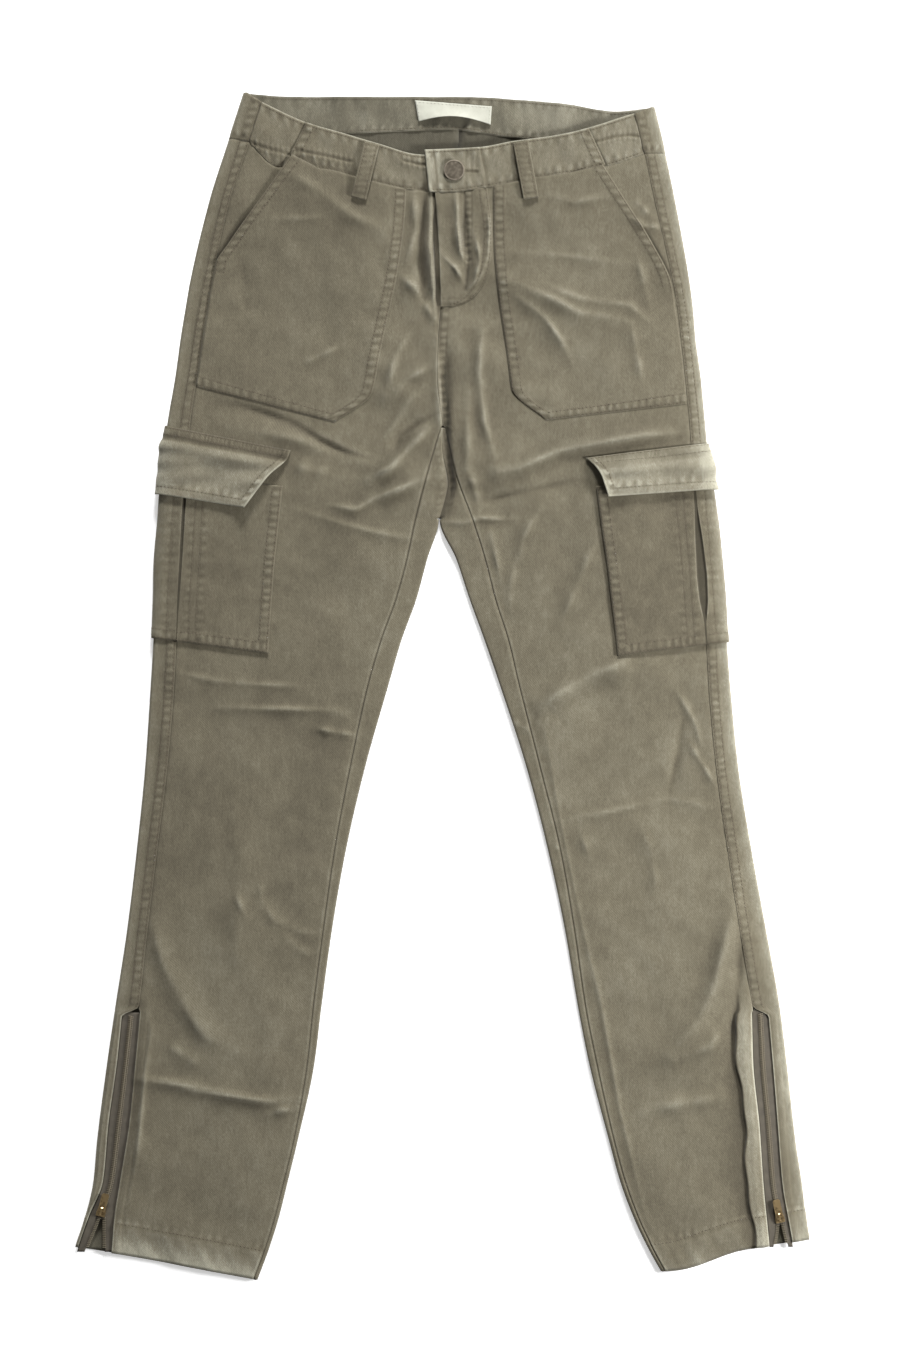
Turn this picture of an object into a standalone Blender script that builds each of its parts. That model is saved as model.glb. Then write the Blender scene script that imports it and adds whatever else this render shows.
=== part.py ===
"""Skinny cargo trousers in cotton twill, laid flat with the front up.

Metres, +Z up. The waist points along +Y and the hems along -Y. Right and left are the
wearer's, so the right leg lies at -X. The trousers lie on z = 0, and the origin is under the
middle of their outline. The sizes below are in millimetres.

Each leg is a flattened tube. Its back panel is the bottom layer: it rolls over the two long
edges onto the front, where it meets the front panel at the side seam and at the inseam.
Everything that lies on a panel is made from the same surface, moved out by its own depth.
"""

import math

import bmesh
import bpy
import numpy as np
from mathutils.bvhtree import BVHTree

MM = 0.001
ORIGIN_X = 1.65  # the middle of the outline, across, in the numbers below

# How thick things are, and how they are stacked
CLOTH = 1.2
BAND = 2.0  # the waistband is two layers and a stiffener
BAND_PROUD = 0.8  # and stands this far out of the panels
SEAM_GAP = 0.3
LAY_GAP = 0.45
INNER_GAP = 1.2  # between the back layer and the front layer
STACK = 2 * CLOTH + INNER_GAP
LAYER = CLOTH + LAY_GAP
WAIST_RISE = 0.9  # the front stands this much higher over the waistband
CROWN = 0.4  # the front layer swells by this in the middle of each leg

# Heights along the garment, on the Y axis
NOTCH_Y = 137.0  # where the two legs part
CROTCH_Y = 212.0  # where the front, the seat seam and the two inseams meet
ZIP_TOP_Y = -266.0

# Across the hips: y, right outer edge, right side seam, centre front, centre back,
# left side seam, left outer edge
HIP_SECTIONS = (
    (486, -161, -145, 4, 15, 154, 172),
    (446, -174, -156, 4, 15, 165, 182),
    (399, -189, -172, 4, 12, 175, 192),
    (333, -205, -187, 3, 8, 190, 204),
    (310, -209, -191, 0, 6, 194, 207),
    (285, -213, -195, -2, 5, 197, 209),
    (255, -217, -199, -3, 3, 200, 213),
    (212, -224, -205, 2, 0, 204, 217),
)

# Down each leg: y, outer edge, side seam, inseam, inner edge
LEG_SECTIONS = {
    "right": (
        (212, -224, -205, 0, 0),
        (175, -227.5, -208, -11, 0),
        (137, -230, -210.5, -21, -1.2),
        (104, -233, -212.5, -28, -11),
        (71, -234, -214.5, -37, -20),
        (38, -235.2, -216, -49, -32),
        (0, -237.5, -218, -60, -43),
        (-65, -242, -223.5, -74, -61.5),
        (-134, -249, -232, -87, -77.5),
        (-200, -257, -240, -96.5, -89),
        (-262, -266.5, -247, -104.5, -97.5),
        (-310, -273.5, -257, -109.5, -103.5),
        (-372, -281.5, -266, -120.5, -117),
        (-405, -284.5, -270, -128.5, -125),
        (-437, -292, -278, -136.5, -133),
        (-462, -300, -284, -144.5, -141),
        (-486, -305, -286, -153.5, -150),
    ),
    "left": (
        (212, 217, 204, 4, 0),
        (175, 220.5, 206.5, 12, 0),
        (137, 225.5, 209.5, 26, -0.8),
        (104, 229, 212.5, 36.5, 13),
        (71, 232, 215, 45, 24),
        (38, 234.4, 217.5, 55.5, 36),
        (0, 237.5, 219.5, 64.5, 49),
        (-65, 244, 225.5, 81, 70),
        (-134, 255, 235, 98, 88),
        (-200, 267, 245, 109.5, 102),
        (-262, 278, 255.5, 118.5, 112.5),
        (-310, 284, 264, 128, 122),
        (-372, 291, 269.5, 142, 138),
        (-405, 296, 272, 151, 147),
        (-437, 300, 276, 162.8, 159),
        (-462, 304, 279, 174.8, 171),
        (-486, 308, 280, 188, 184.5),
    ),
}

# The seat seam shows on the front below the crotch point: y, x
SEAT_SEAM = ((212, 2), (195, 1.5), (166, 6), (155, 4), (137, -1))

# Each ankle zip: y, edge of the back panel, edge of the front panel, and the two rows of teeth
ZIP_SECTIONS = {
    "right": (
        (-270, -261, -246.5, -256, -251),
        (-308, -265, -250, -260, -255),
        (-358, -272, -255, -266, -261),
        (-405, -276.5, -262.5, -272, -267),
        (-434, -288, -267, -280, -275),
        (-464, -299, -269.5, -292, -275),
    ),
    "left": (
        (-268, 268.5, 255, 264.5, 259.5),
        (-308, 272, 256, 266.5, 261.5),
        (-358, 276, 261, 271, 266),
        (-408, 280, 264.5, 275, 270),
        (-440, 285.5, 267.5, 280.5, 275.5),
        (-460, 289, 269.5, 285, 272.5),
    ),
}

# Edges that run across the garment: x, y
HEM = {
    "right": ((-300, -459), (-269, -464), (-150, -486)),
    "left": ((181, -479), (194, -478), (249, -461), (269, -458), (304, -453)),
}
BACK_SEAM = ((-174, 448), (-115, 451), (-23, 455), (5, 456), (62, 449), (131, 443), (184, 436))
BACK_TOP = ((-161, 486), (-120, 483), (16, 483), (58, 481), (104, 477), (144, 471), (173, 474))
FRONT_SEAM = (
    (-158, 446), (-132, 424), (-99, 423), (-57, 413), (-27, 406.5), (4, 404), (38, 408),
    (78, 415.5), (106, 419.5), (136, 425), (166, 435),
)  # fmt: skip
FRONT_TOP = (
    (-161, 486), (-146, 478), (-111, 462), (-82, 453.5), (-50, 444), (-20, 435.5), (4, 434),
)  # fmt: skip
FRONT_TOP_LEFT = ((-13, 439), (31, 441), (59, 446), (98, 451.5), (121, 457), (159, 469), (175, 473))
# Towards the pocket the front band's lower edge climbs off the panel: x, how far
BAND_CLIMB = {"right": ((-123, 11.5), (-99, 0)), "left": ((106, 0), (135, 2))}

# Each waistband is cut twice, and each cut runs from a top point to a bottom point: where the
# pocket mouth goes on up through it, for the front piece and for the side piece, and at the
# side seam
POCKET_CUT = {"right": ((-110, 461.5), (-123, 435)), "left": ((121, 457), (135, 427))}
SIDE_CUT_LOW = {"right": (-131, 424.5), "left": (136, 425.5)}
SIDE_SEAM_CUT = {"right": ((-146, 478), (-157, 446)), "left": ((158.5, 468.5), (166.5, 436))}
TONGUE = ((-13, 439), (-9.5, 404.5))  # the free end of the left front band
LAP_END = 4.0  # the right front band ends here, under the left one
LAP_SLOPE = (14, 46)  # the left band comes down to the panel between these x

# The fly overlap: y, its free edge, the curved seam that holds it
FLY_SECTIONS = (
    (404.5, -4.5, 38),
    (390, -3.5, 40.5),
    (370, -2, 42),
    (350, -1, 41),
    (335, -0.5, 37.5),
    (323, 0, 31),
    (315, 0, 21),
    (311, 0, 9),
)

# Front patch pockets, row by row from the waistband down: outer x, y, inner x, y
PATCH_SECTIONS = {
    "right": (
        (-122, 434, -28, 406),
        (-146, 401, -29, 387),
        (-172, 365, -32, 358),
        (-186, 342, -37, 329),
        (-190, 312, -43, 302),
        (-195, 280, -50, 269),
        (-199, 255, -56, 240),
        (-200, 245, -87, 216),
    ),
    "left": (
        (133, 425, 43, 408),
        (153, 395, 43, 385),
        (173, 363, 43.5, 359),
        (189, 330, 46, 330),
        (193, 306, 49, 306),
        (197, 276, 53, 280),
        (200, 252, 56, 258),
        (201, 240, 58, 243),
        (201, 231, 86, 218),
    ),
}

# Cargo pockets and flaps go round the side seam. Rows of: share of the drop, reach from the
# side seam. Then y at the inner end and at the hidden end behind the leg, top and bottom.
CARGO_POCKET = {
    "right": (((0, 80), (0.17, 79), (0.33, 78), (0.5, 77), (0.67, 76.5), (0.83, 76), (1, 75.5)),
              (164, 178), (27, 47)),
    "left": (((0, 80), (0.17, 79), (0.33, 78), (0.5, 76.5), (0.67, 75.5), (0.83, 74.5), (1, 73.5)),
             (164, 174), (25, 43)),
}  # fmt: skip
CARGO_FLAP = {
    "right": (((0, 84), (0.14, 82), (0.45, 68), (0.75, 58), (1, 50)), (193, 226), (146, 162)),
    "left": (((0, 87), (0.25, 79), (0.5, 75), (0.75, 73), (1, 71)), (187, 208), (155, 165)),
}
PLEAT_HALF = 3.5  # half the slit of the pocket's pleat
PLEAT_LIP = 1.0  # how far the pleat's folded lips stand up

# Belt loops. Front ones: top x, y and bottom x, y. Back ones: x.
LOOP_WIDTH = 12.5
FRONT_LOOPS = {"right": ((-56, 444), (-67, 399)), "left": ((65.5, 445), (74, 399))}
# share of a front loop's length, height over the panel: held at its ends, with room for a belt
LOOP_ARCH = ((0, 1.3), (0.12, 1.9), (0.35, 2.9), (0.6, 3.0), (0.8, 2.8), (1, 2.2))
BACK_LOOPS = {"back_right": -92.0, "back_centre": 14.0, "back_left": 118.0}
LOOP_TAIL = 15.0  # a loop reaches this far below the waistband

LABEL = ((-21, 480), (42, 475), (41, 460), (-18, 462))
LABEL_THICK = 1.0

BUTTON_X, BUTTON_Y = 11.0, 422.0
BUTTON_RADIUS = 8.5

# The largest folds of the front layer: height, half width, the points of its crest
FOLDS = (
    (1.8, 12, ((-140, 212), (-115, 203), (-80, 190), (-52, 180))),
    (1.8, 10, ((-58, 170), (-37, 182), (-14, 209))),
    (1.3, 9, ((-56, 153), (-33, 160), (-15, 170))),
    (1.8, 11, ((46, 176), (69, 180), (98, 193), (140, 204), (185, 209))),
    (1.4, 9, ((35, 288), (32, 258), (37, 216), (45, 190))),
    (1.8, 13, ((84, -14), (98, -5), (123, 7), (150, 14))),
    (1.7, 14, ((-232, -200), (-218, -245), (-193, -285), (-171, -298))),
    (1.7, 9, ((-244, -321), (-197, -329), (-152, -335), (-117, -337))),
    (1.9, 14, ((240, -180), (233, -208), (225, -241), (213, -273), (188, -300))),
    (1.2, 12, ((168, -347), (196, -341), (229, -337))),
    (0.7, 28, ((-129, 405), (-102, 400), (-73, 386), (-50, 372))),
    (0.7, 28, ((75, 330), (100, 315), (150, 300))),
)
# The left front rolls over itself beside the zip: height, half width, crest
ZIP_ROLL = (1.9, 9.5, ((245, -232), (246, -266), (247, -310), (252, -360), (255, -408), (258, -452)))

# Ankle zip hardware: slider place, turn from the Y axis in degrees
SLIDERS = {"right": (-277.5, -429.0, 15.0), "left": (277.5, -434.0, -12.0)}
SLIDER_LENGTH = 9.5
SLIDER_THICK = 2.2
BRIDGE_HALF = 3.2  # half the bridge's length
BRIDGE_WALL = 0.8
BRIDGE_WIDTH = 1.6
BRIDGE_ROOM = 2.0  # clear height under the bridge
PULL_LENGTH = 14.5
PULL_WIDTH = 6.0
PULL_THICK = 1.0
PULL_EYE = (3.2, 4.5)  # the eye's width, and how far from the axis it ends

# Colours (linear), roughness and metal of the finishes
FINISHES = {
    "twill": ((0.19, 0.16, 0.11, 1), 0.9, 0.0),
    "label": ((0.55, 0.55, 0.47, 1), 0.8, 0.0),
    "zip_tape": ((0.10, 0.09, 0.07, 1), 0.9, 0.0),
    "brass": ((0.32, 0.22, 0.12, 1), 0.4, 1.0),
    "button_metal": ((0.14, 0.12, 0.09, 1), 0.5, 1.0),
}

# Rows of the long panels, from the hem up. Below the notch a row is named by its height at
# the side seam, in the seat by its height, and above it by its share of the way to the waist.
LEG_ROWS = (
    -462, -441, -420, -395, -368, -341, -327, -300, -272, -264, -232, -200, -170, -135,
    -95, -50, -15, 5, 25, 60, 98, 137,
)  # fmt: skip
SEAT_ROWS = (162, 187)
HIP_ROWS = (0, 0.05, 0.16, 0.28, 0.41, 0.54, 0.67, 0.8, 0.9, 1)

# How much of one layer's thickness each thing lifts the leg by: y, share
POCKET_LIFT = ((-50, 0), (25, 1), (212, 1), (277, 0))
FLAP_LIFT = ((60, 0), (137, 1), (245, 1), (308, 0))
LOOP_LIFT = ((340, 0), (400, 1))
LIFT_REACH = (66, 140)  # the cargo lifts fade this far in from the outer edge

FRONT_COLUMNS = (0, 5, 10, 16)  # from the side seam inwards, then equal steps
FRONT_STEPS = 6
ROLL_ANGLES = (90, 30, -30, -90)  # round a long edge, from the front to the back
ROLL_ROOM = STACK / 2 + 0.6  # a roll takes up this much of the leg's width


class Curve:
    """A smooth line through rows of (position, value), with no overshoot between them."""

    def __init__(self, rows):
        rows = sorted(rows)
        self.at = np.array([row[0] for row in rows], float)
        self.value = np.array([row[1] for row in rows], float)
        rate = np.diff(self.value) / np.diff(self.at)
        self.slope = np.concatenate([rate[:1], np.zeros(len(rate) - 1), rate[-1:]])
        for i in range(1, len(rate)):
            before, after = rate[i - 1], rate[i]
            if before * after > 0:
                self.slope[i] = 2 * before * after / (before + after)

    def __call__(self, at):
        if at <= self.at[0]:
            return self.value[0] + self.slope[0] * (at - self.at[0])
        if at >= self.at[-1]:
            return self.value[-1] + self.slope[-1] * (at - self.at[-1])
        i = int(np.searchsorted(self.at, at)) - 1
        step = self.at[i + 1] - self.at[i]
        t = (at - self.at[i]) / step
        return (
            self.value[i] * (1 + 2 * t) * (1 - t) ** 2
            + self.value[i + 1] * t * t * (3 - 2 * t)
            + step * (self.slope[i] * t * (1 - t) ** 2 - self.slope[i + 1] * t * t * (1 - t))
        )


def column(rows, index):
    return Curve([(row[0], row[index]) for row in rows])


def between(rows, at):
    """Straight lines through rows of (position, value), and level past both ends."""
    return float(np.interp(at, *zip(*sorted(rows))))


def ramp(at, start, end):
    """0 before start, 1 after end, and smooth between."""
    t = min(max((at - start) / (end - start), 0.0), 1.0)
    return t * t * (3 - 2 * t)


def mix(a, b, t):
    return a + (b - a) * t


def mix_point(a, b, t):
    return tuple(mix(p, q, t) for p, q in zip(a, b))


def meet(x_at, y_at, y):
    """The point where a long line, x from y, meets a cross line, y from x."""
    for _ in range(5):
        x = x_at(y)
        y = y_at(x)
    return x, y


def from_crest(crest, x, y):
    """Distance from (x, y) to the nearest point of a crest."""
    nearest = math.inf
    for (ax, ay), (bx, by) in zip(crest, crest[1:]):
        dx, dy = bx - ax, by - ay
        t = min(max(((x - ax) * dx + (y - ay) * dy) / (dx * dx + dy * dy), 0.0), 1.0)
        nearest = min(nearest, math.hypot(x - ax - t * dx, y - ay - t * dy))
    return nearest


def bump(height, half_width, crest, x, y, power=2):
    """A soft ridge along a crest. A higher power gives it a flatter top."""
    away = from_crest(crest, x, y) / half_width
    return height * (1 - away**power) ** 2 if away < 1 else 0.0


class Leg:
    """The two-layered skin of one half of the trousers, hip and leg together."""

    def __init__(self, side):
        right = side == "right"
        rows = LEG_SECTIONS[side]
        self.side = side
        self.inward = 1 if right else -1
        self.half_gap = self.inward * SEAM_GAP / 2
        self.outer = self.joined(1 if right else 6, rows, 1)
        self.side_seam = self.joined(2 if right else 5, rows, 2)
        self.centre_front = column(HIP_SECTIONS, 3)
        self.centre_back = column(HIP_SECTIONS, 4)
        self.inseam = column(rows, 3)
        self.inner = column(rows, 4)
        self.seat_seam = Curve(SEAT_SEAM)
        self.hem = Curve(HEM[side])
        self.zip_lines = [column(ZIP_SECTIONS[side], i) for i in (1, 2, 3, 4)]

    @staticmethod
    def joined(hip_index, leg_rows, leg_index):
        hips = [(row[0], row[hip_index]) for row in HIP_SECTIONS[:-1]]
        return Curve(hips + [(row[0], row[leg_index]) for row in leg_rows])

    def front_side_edge(self, y):
        """Outer edge of the front panel: along the side seam, then along the zip."""
        line = self.side_seam(y) if y > ZIP_TOP_Y else self.zip_lines[1](y)
        return line + self.half_gap

    def back_side_edge(self, y):
        """Edge of the back panel on the front of the leg, where the roll over its side ends."""
        line = self.side_seam(y) if y > ZIP_TOP_Y else self.zip_lines[0](y)
        line -= self.half_gap
        rolled = self.outer(y) + self.inward * ROLL_ROOM
        return max(line, rolled) if self.inward > 0 else min(line, rolled)

    def front_inner_edge(self, y):
        line = self.centre_front(y) if y > CROTCH_Y else self.inseam(y)
        return line - self.half_gap

    def front_columns(self):
        """The long lines of the front panel, x from y."""
        lines = [lambda y, d=d: self.front_side_edge(y) + self.inward * d for d in FRONT_COLUMNS]
        last = lines[-1]
        for k in range(1, FRONT_STEPS + 1):
            share = k / FRONT_STEPS
            lines.append(lambda y, s=share: mix(last(y), self.front_inner_edge(y), s))
        return lines

    def cross_lines(self, waist_seam):
        """The lines y(x) that the rows of a long panel follow, up to its waist seam."""
        hem_x, hem_y = meet(self.side_seam, self.hem, LEG_ROWS[0])
        lines = [self.hem]
        for y in LEG_ROWS[1:]:
            share = (y - hem_y) / (NOTCH_Y - hem_y)
            lines.append(lambda x, s=share: mix(self.hem(x), NOTCH_Y, s))
        for y in SEAT_ROWS:
            lines.append(lambda x, y=y: y)
        for share in HIP_ROWS:
            lines.append(lambda x, s=share: mix(CROTCH_Y, waist_seam(x), s))
        return lines

    def under(self, x, y):
        """Height of the lowest face of the back layer, over what the leg lies on."""
        near = 1 - ramp((x - self.outer(y)) * self.inward, *LIFT_REACH)
        cargo = near * (between(POCKET_LIFT, y) + between(FLAP_LIFT, y))
        return LAYER * (cargo + between(LOOP_LIFT, y))

    def rise(self, x, y):
        """What the front layer stands above its flat stack."""
        edge = self.outer(y)
        middle = self.centre_front(y) if y > CROTCH_Y else self.inner(min(y, NOTCH_Y))
        share = min(max((x - edge) / (middle - edge), 0.0), 1.0)
        swell = CROWN * (1 - (2 * share - 1) ** 2) + WAIST_RISE * ramp(y, 375, 420)
        fold = max(bump(*row, x, y) for row in FOLDS)
        return swell + max(fold, bump(*ZIP_ROLL, x, y, power=4))

    def over(self, x, y):
        """Height of the upper face of the front layer."""
        return self.under(x, y) + STACK + self.rise(x, y)

    def top(self, x, y, out=0.0):
        return (x, y, self.over(x, y) + out)

    def bottom(self, x, y, out=0.0):
        return (x, y, self.under(x, y) - out)

    def roll(self, edge, facing, angle, y, out=0.0):
        """A point on the roll over a long edge: +90 degrees is the front, -90 the back."""
        probe = edge - facing * STACK / 2
        low, high = self.under(probe, y), self.over(probe, y)
        radius = (high - low) / 2
        turn = math.radians(angle)
        x = edge - facing * radius + facing * (radius + out) * math.cos(turn)
        return (x, y, (low + high) / 2 + (radius + out) * math.sin(turn))

    def outer_roll(self, angle, y, out=0.0):
        return self.roll(self.outer(y), -self.inward, angle, y, out)


LEGS = {side: Leg(side) for side in ("right", "left")}


class Below:
    """The upper faces of pieces that are already made, for the next piece to lie on."""

    SKY = 100.0

    def __init__(self, *names):
        points, faces = [], []
        for name in names:
            mesh = bpy.data.objects[name].data
            start = len(points)
            points += [vertex.co / MM for vertex in mesh.vertices]
            faces += [[start + k for k in face.vertices] for face in mesh.polygons]
        self.tree = BVHTree.FromPolygons(points, faces)

    def height(self, leg, x, y):
        """The highest face here, or the leg's own skin where a seam gap shows."""
        skin = leg.over(x, y)
        hit = self.tree.ray_cast((x, y, self.SKY), (0, 0, -1))[0]
        return hit.z if hit and hit.z > skin - CLOTH else skin


def drape(leg, below, grid, gap=LAY_GAP):
    """Heights of a piece's underside over a grid of (x, y), with each facet clear of `below`."""
    heights = [[below.height(leg, x, y) + gap for x, y in row] for row in grid]
    parts = 5
    weights = [
        (a / parts, b / parts, (parts - a - b) / parts)
        for a in range(parts + 1)
        for b in range(parts + 1 - a)
    ]
    for i in range(len(grid) - 1):
        for j in range(len(grid[0]) - 1):
            cell = [(i, j), (i, j + 1), (i + 1, j + 1), (i + 1, j)]
            for corners in ((cell[0], cell[1], cell[2]), (cell[0], cell[2], cell[3])):
                short = 0.0
                for share in weights:
                    x, y, z = (
                        sum(w * value for w, value in zip(share, values))
                        for values in zip(*((*grid[r][c], heights[r][c]) for r, c in corners))
                    )
                    short = max(short, below.height(leg, x, y) + gap - z)
                for r, c in corners:
                    heights[r][c] += short
    return heights


def finish(name):
    """The shared material of that name, made the first time it is asked for."""
    material = bpy.data.materials.get(name)
    if material:
        return material
    colour, roughness, metallic = FINISHES[name]
    material = bpy.data.materials.new(name)
    material.use_nodes = True
    shader = material.node_tree.nodes["Principled BSDF"]
    shader.inputs["Base Color"].default_value = colour
    shader.inputs["Roughness"].default_value = roughness
    shader.inputs["Metallic"].default_value = metallic
    material.diffuse_color = colour
    return material


def add_object(name, shape, finish_name, place=(0, 0, 0), turn=0.0):
    """Turn a bmesh in millimetres about `place` into a named object in metres."""
    bmesh.ops.recalc_face_normals(shape, faces=shape.faces)
    bmesh.ops.scale(shape, vec=(MM, MM, MM), verts=shape.verts)
    mesh = bpy.data.meshes.new(name)
    shape.to_mesh(mesh)
    shape.free()
    mesh.materials.append(finish(finish_name))
    obj = bpy.data.objects.new(name, mesh)
    x, y, z = place
    obj.location = ((x - ORIGIN_X) * MM, y * MM, z * MM)
    obj.rotation_euler = (0, 0, turn)
    bpy.context.scene.collection.objects.link(obj)
    return obj


def wall(name, rows, finish_name="twill", gone=()):
    """One wall of cloth from rows of (face point, lining point) pairs.

    Quads named in `gone`, as (row, column), are left out, and every free edge is closed.
    """
    shape = bmesh.new()
    made = {}

    def vertex(corner, layer):
        if (corner, layer) not in made:
            i, j = corner
            made[corner, layer] = shape.verts.new(rows[i][j][layer])
        return made[corner, layer]

    free = {}
    for i in range(len(rows) - 1):
        for j in range(len(rows[0]) - 1):
            if (i, j) in gone:
                continue
            corners = [(i, j), (i, j + 1), (i + 1, j + 1), (i + 1, j)]
            for layer in (0, 1):
                a, b, c, d = [vertex(corner, layer) for corner in corners]
                shape.faces.new((a, b, c))
                shape.faces.new((a, c, d))
            for start, end in zip(corners, corners[1:] + corners[:1]):
                key = tuple(sorted((start, end)))
                free[key] = None if key in free else (start, end)
    for ends in free.values():
        if ends:
            a, b = ends
            shape.faces.new((vertex(a, 0), vertex(b, 0), vertex(b, 1), vertex(a, 1)))
    bmesh.ops.triangulate(shape, faces=[face for face in shape.faces if len(face.verts) > 3])
    return add_object(name, shape, finish_name)


def pair(place, face_out, lining_out):
    """The face point and the lining point of one place on a skin."""
    return place(face_out), place(lining_out)


def laid(leg, below, grid, thick=CLOTH):
    """Rows of a flat piece that lies on the front, over a grid of (x, y)."""
    heights = drape(leg, below, grid)
    return [
        [((x, y, z + thick), (x, y, z)) for (x, y), z in zip(*row)]
        for row in zip(grid, heights)
    ]


def make_front_panel(leg):
    rows = []
    for line in leg.cross_lines(Curve(FRONT_SEAM)):
        points = [meet(x_at, line, line(leg.side_seam(0))) for x_at in leg.front_columns()]
        rows.append([pair(lambda d, p=p: leg.top(*p, d), 0, -CLOTH) for p in points])
    return wall(f"leg_front_{leg.side}", rows)


def under_columns(leg, y, line, back_edge):
    """Points of the back panel's flat part, between its two rolls."""
    first = LIFT_REACH[0]
    last = 0.86
    width = abs(back_edge(y) - leg.outer(y))
    reaches = (first, (first + last * width) / 2, last * width)
    return [meet(lambda y, r=r: leg.outer(y) + leg.inward * r, line, y) for r in reaches]


def make_back_panel(leg):
    seat_start = len(LEG_ROWS) - 1
    hip_start = len(LEG_ROWS) + len(SEAT_ROWS)
    front_lines = leg.cross_lines(Curve(FRONT_SEAM))
    rows, gone = [], set()
    for i, line in enumerate(leg.cross_lines(Curve(BACK_SEAM))):
        start = line(leg.side_seam(0))
        rolled = i <= seat_start
        back_edge = leg.inner if rolled else leg.centre_back
        seam = meet(leg.back_side_edge, front_lines[i], start)
        places = [lambda out, p=seam: leg.top(*p, out)]
        edge_y = meet(leg.outer, line, start)[1]
        for angle in ROLL_ANGLES:
            places.append(lambda out, a=angle, y=edge_y: leg.outer_roll(a, y, out))
        for point in under_columns(leg, edge_y, line, back_edge):
            places.append(lambda out, p=point: leg.bottom(*p, out))
        back_y = meet(back_edge, line, start)[1]
        inseam_x, inseam_y = meet(leg.inseam, front_lines[i], start)
        for angle in reversed(ROLL_ANGLES):
            if rolled:
                edge = (leg.inner(back_y), leg.inward, angle, back_y)
                place = lambda out, e=edge: leg.roll(*e, out)
            elif angle < 0:
                point = (leg.centre_back(back_y) - leg.half_gap, back_y)
                place = lambda out, p=point: leg.bottom(*p, out)
            else:
                point = (leg.seat_seam(inseam_y) - leg.half_gap, inseam_y)
                place = lambda out, p=point: leg.top(*p, out)
            places.append(place)
        point = (inseam_x + leg.half_gap, inseam_y)
        places.append(lambda out, p=point: leg.top(*p, out))
        rows.append([pair(place, 0, -CLOTH) for place in places])
        # the seat is open between its seam below and its seam above, and the hip has no inseam
        last = len(places) - 2
        if i >= seat_start:
            gone |= {(i, last - 3), (i, last - 2), (i, last - 1)}
        if i >= hip_start:
            gone |= {(i, last)}
    return wall(f"leg_back_{leg.side}", rows, gone=gone)


def panel_tops(leg, waist_seam):
    """Points of the front panel's edge at the waistband, from the side seam inwards."""
    line = Curve(waist_seam)
    return [meet(x_at, line, CROTCH_Y) for x_at in leg.front_columns()]


def band_foot(leg, x):
    """Where the front waistband's lower edge crosses x, before its seam gap."""
    return between(panel_tops(leg, FRONT_SEAM), x) + between(BAND_CLIMB[leg.side], x)


def make_patch_pocket(leg):
    columns = 7
    grid = []
    for i, (ax, ay, bx, by) in enumerate(PATCH_SECTIONS[leg.side]):
        seam = leg.side_seam(ay)
        ax = max(ax, seam + 0.5) if leg.inward > 0 else min(ax, seam - 0.5)
        row = [mix_point((ax, ay), (bx, by), k / columns) for k in range(columns + 1)]
        if i == 0:
            row = [(x, band_foot(leg, x) - SEAM_GAP) for x, _ in row]
        grid.append(row)
    below = Below(f"leg_front_{leg.side}", f"leg_back_{leg.side}")
    return wall(f"pocket_{leg.side}", laid(leg, below, grid))


def make_fly():
    leg = LEGS["left"]
    columns = 4
    grid = []
    for i, (y, left, right) in enumerate(FLY_SECTIONS):
        row = [(mix(left, right, k / columns), y) for k in range(columns + 1)]
        if i == 0:
            row = [(x, band_foot(leg, x) - SEAM_GAP) for x, _ in row]
        grid.append(row)
    below = Below("leg_front_left", "leg_front_right")
    return wall("fly_overlap", laid(leg, below, grid))


def band_piece(name, leg, start, end, top_line, foot_line, foot_xs, extra=lambda x: 0.0):
    """A waistband piece on the front, between two cuts. Each cut is a top and a foot point."""
    (top_a, foot_a), (top_b, foot_b) = start, end
    span = foot_b[0] - foot_a[0]
    inside = sorted(x for x in foot_xs if 3 < abs(x - foot_a[0]) < abs(span) - 3
                    and (x - foot_a[0]) * span > 0)  # fmt: skip
    if span < 0:
        inside.reverse()
    rows = [[], [], []]
    for foot_x in [foot_a[0], *inside, foot_b[0]]:
        t = (foot_x - foot_a[0]) / span
        top_x = mix(top_a[0], top_b[0], t)
        for row, share in zip(rows, (0, 0.5, 1)):
            x = mix(top_x, foot_x, share)
            y = mix(top_line(top_x), foot_line(foot_x), share)
            out = BAND_PROUD + extra(x)
            row.append(pair(lambda d, x=x, y=y: leg.top(x, y, d), out, out - BAND))
    return wall(name, rows)


def shifted(cut, distance):
    """A cut through the waistband, moved sideways."""
    return tuple((x + distance, y) for x, y in cut)


def make_front_bands():
    for side, leg in LEGS.items():
        tops = panel_tops(leg, FRONT_SEAM)
        foot_xs = [x for x, _ in tops] + [x for x, _ in BAND_CLIMB[side]]
        top_line = Curve(FRONT_TOP if side == "right" else FRONT_TOP_LEFT)
        foot_line = lambda x, leg=leg: band_foot(leg, x) + SEAM_GAP
        pocket_end = shifted(POCKET_CUT[side], leg.half_gap)
        if side == "right":
            middle = ((LAP_END, 0), (LAP_END, 0))
            name, extra = "waistband_front_right", lambda x: 0.0
        else:
            middle = TONGUE
            foot_xs.append(mix(*LAP_SLOPE, 0.5))
            name = "waistband_front_left"
            extra = lambda x: (BAND + LAY_GAP) * (1 - ramp(x, *LAP_SLOPE))
        band_piece(name, leg, middle, pocket_end, top_line, foot_line, foot_xs, extra)

        pocket_top = POCKET_CUT[side][0]
        start = shifted((pocket_top, SIDE_CUT_LOW[side]), -leg.half_gap)
        end = shifted(SIDE_SEAM_CUT[side], leg.half_gap)
        foot_line = lambda x, tops=tops: between(tops, x) + SEAM_GAP
        band_piece(f"waistband_side_{side}", leg, start, end, top_line, foot_line, foot_xs)


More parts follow.
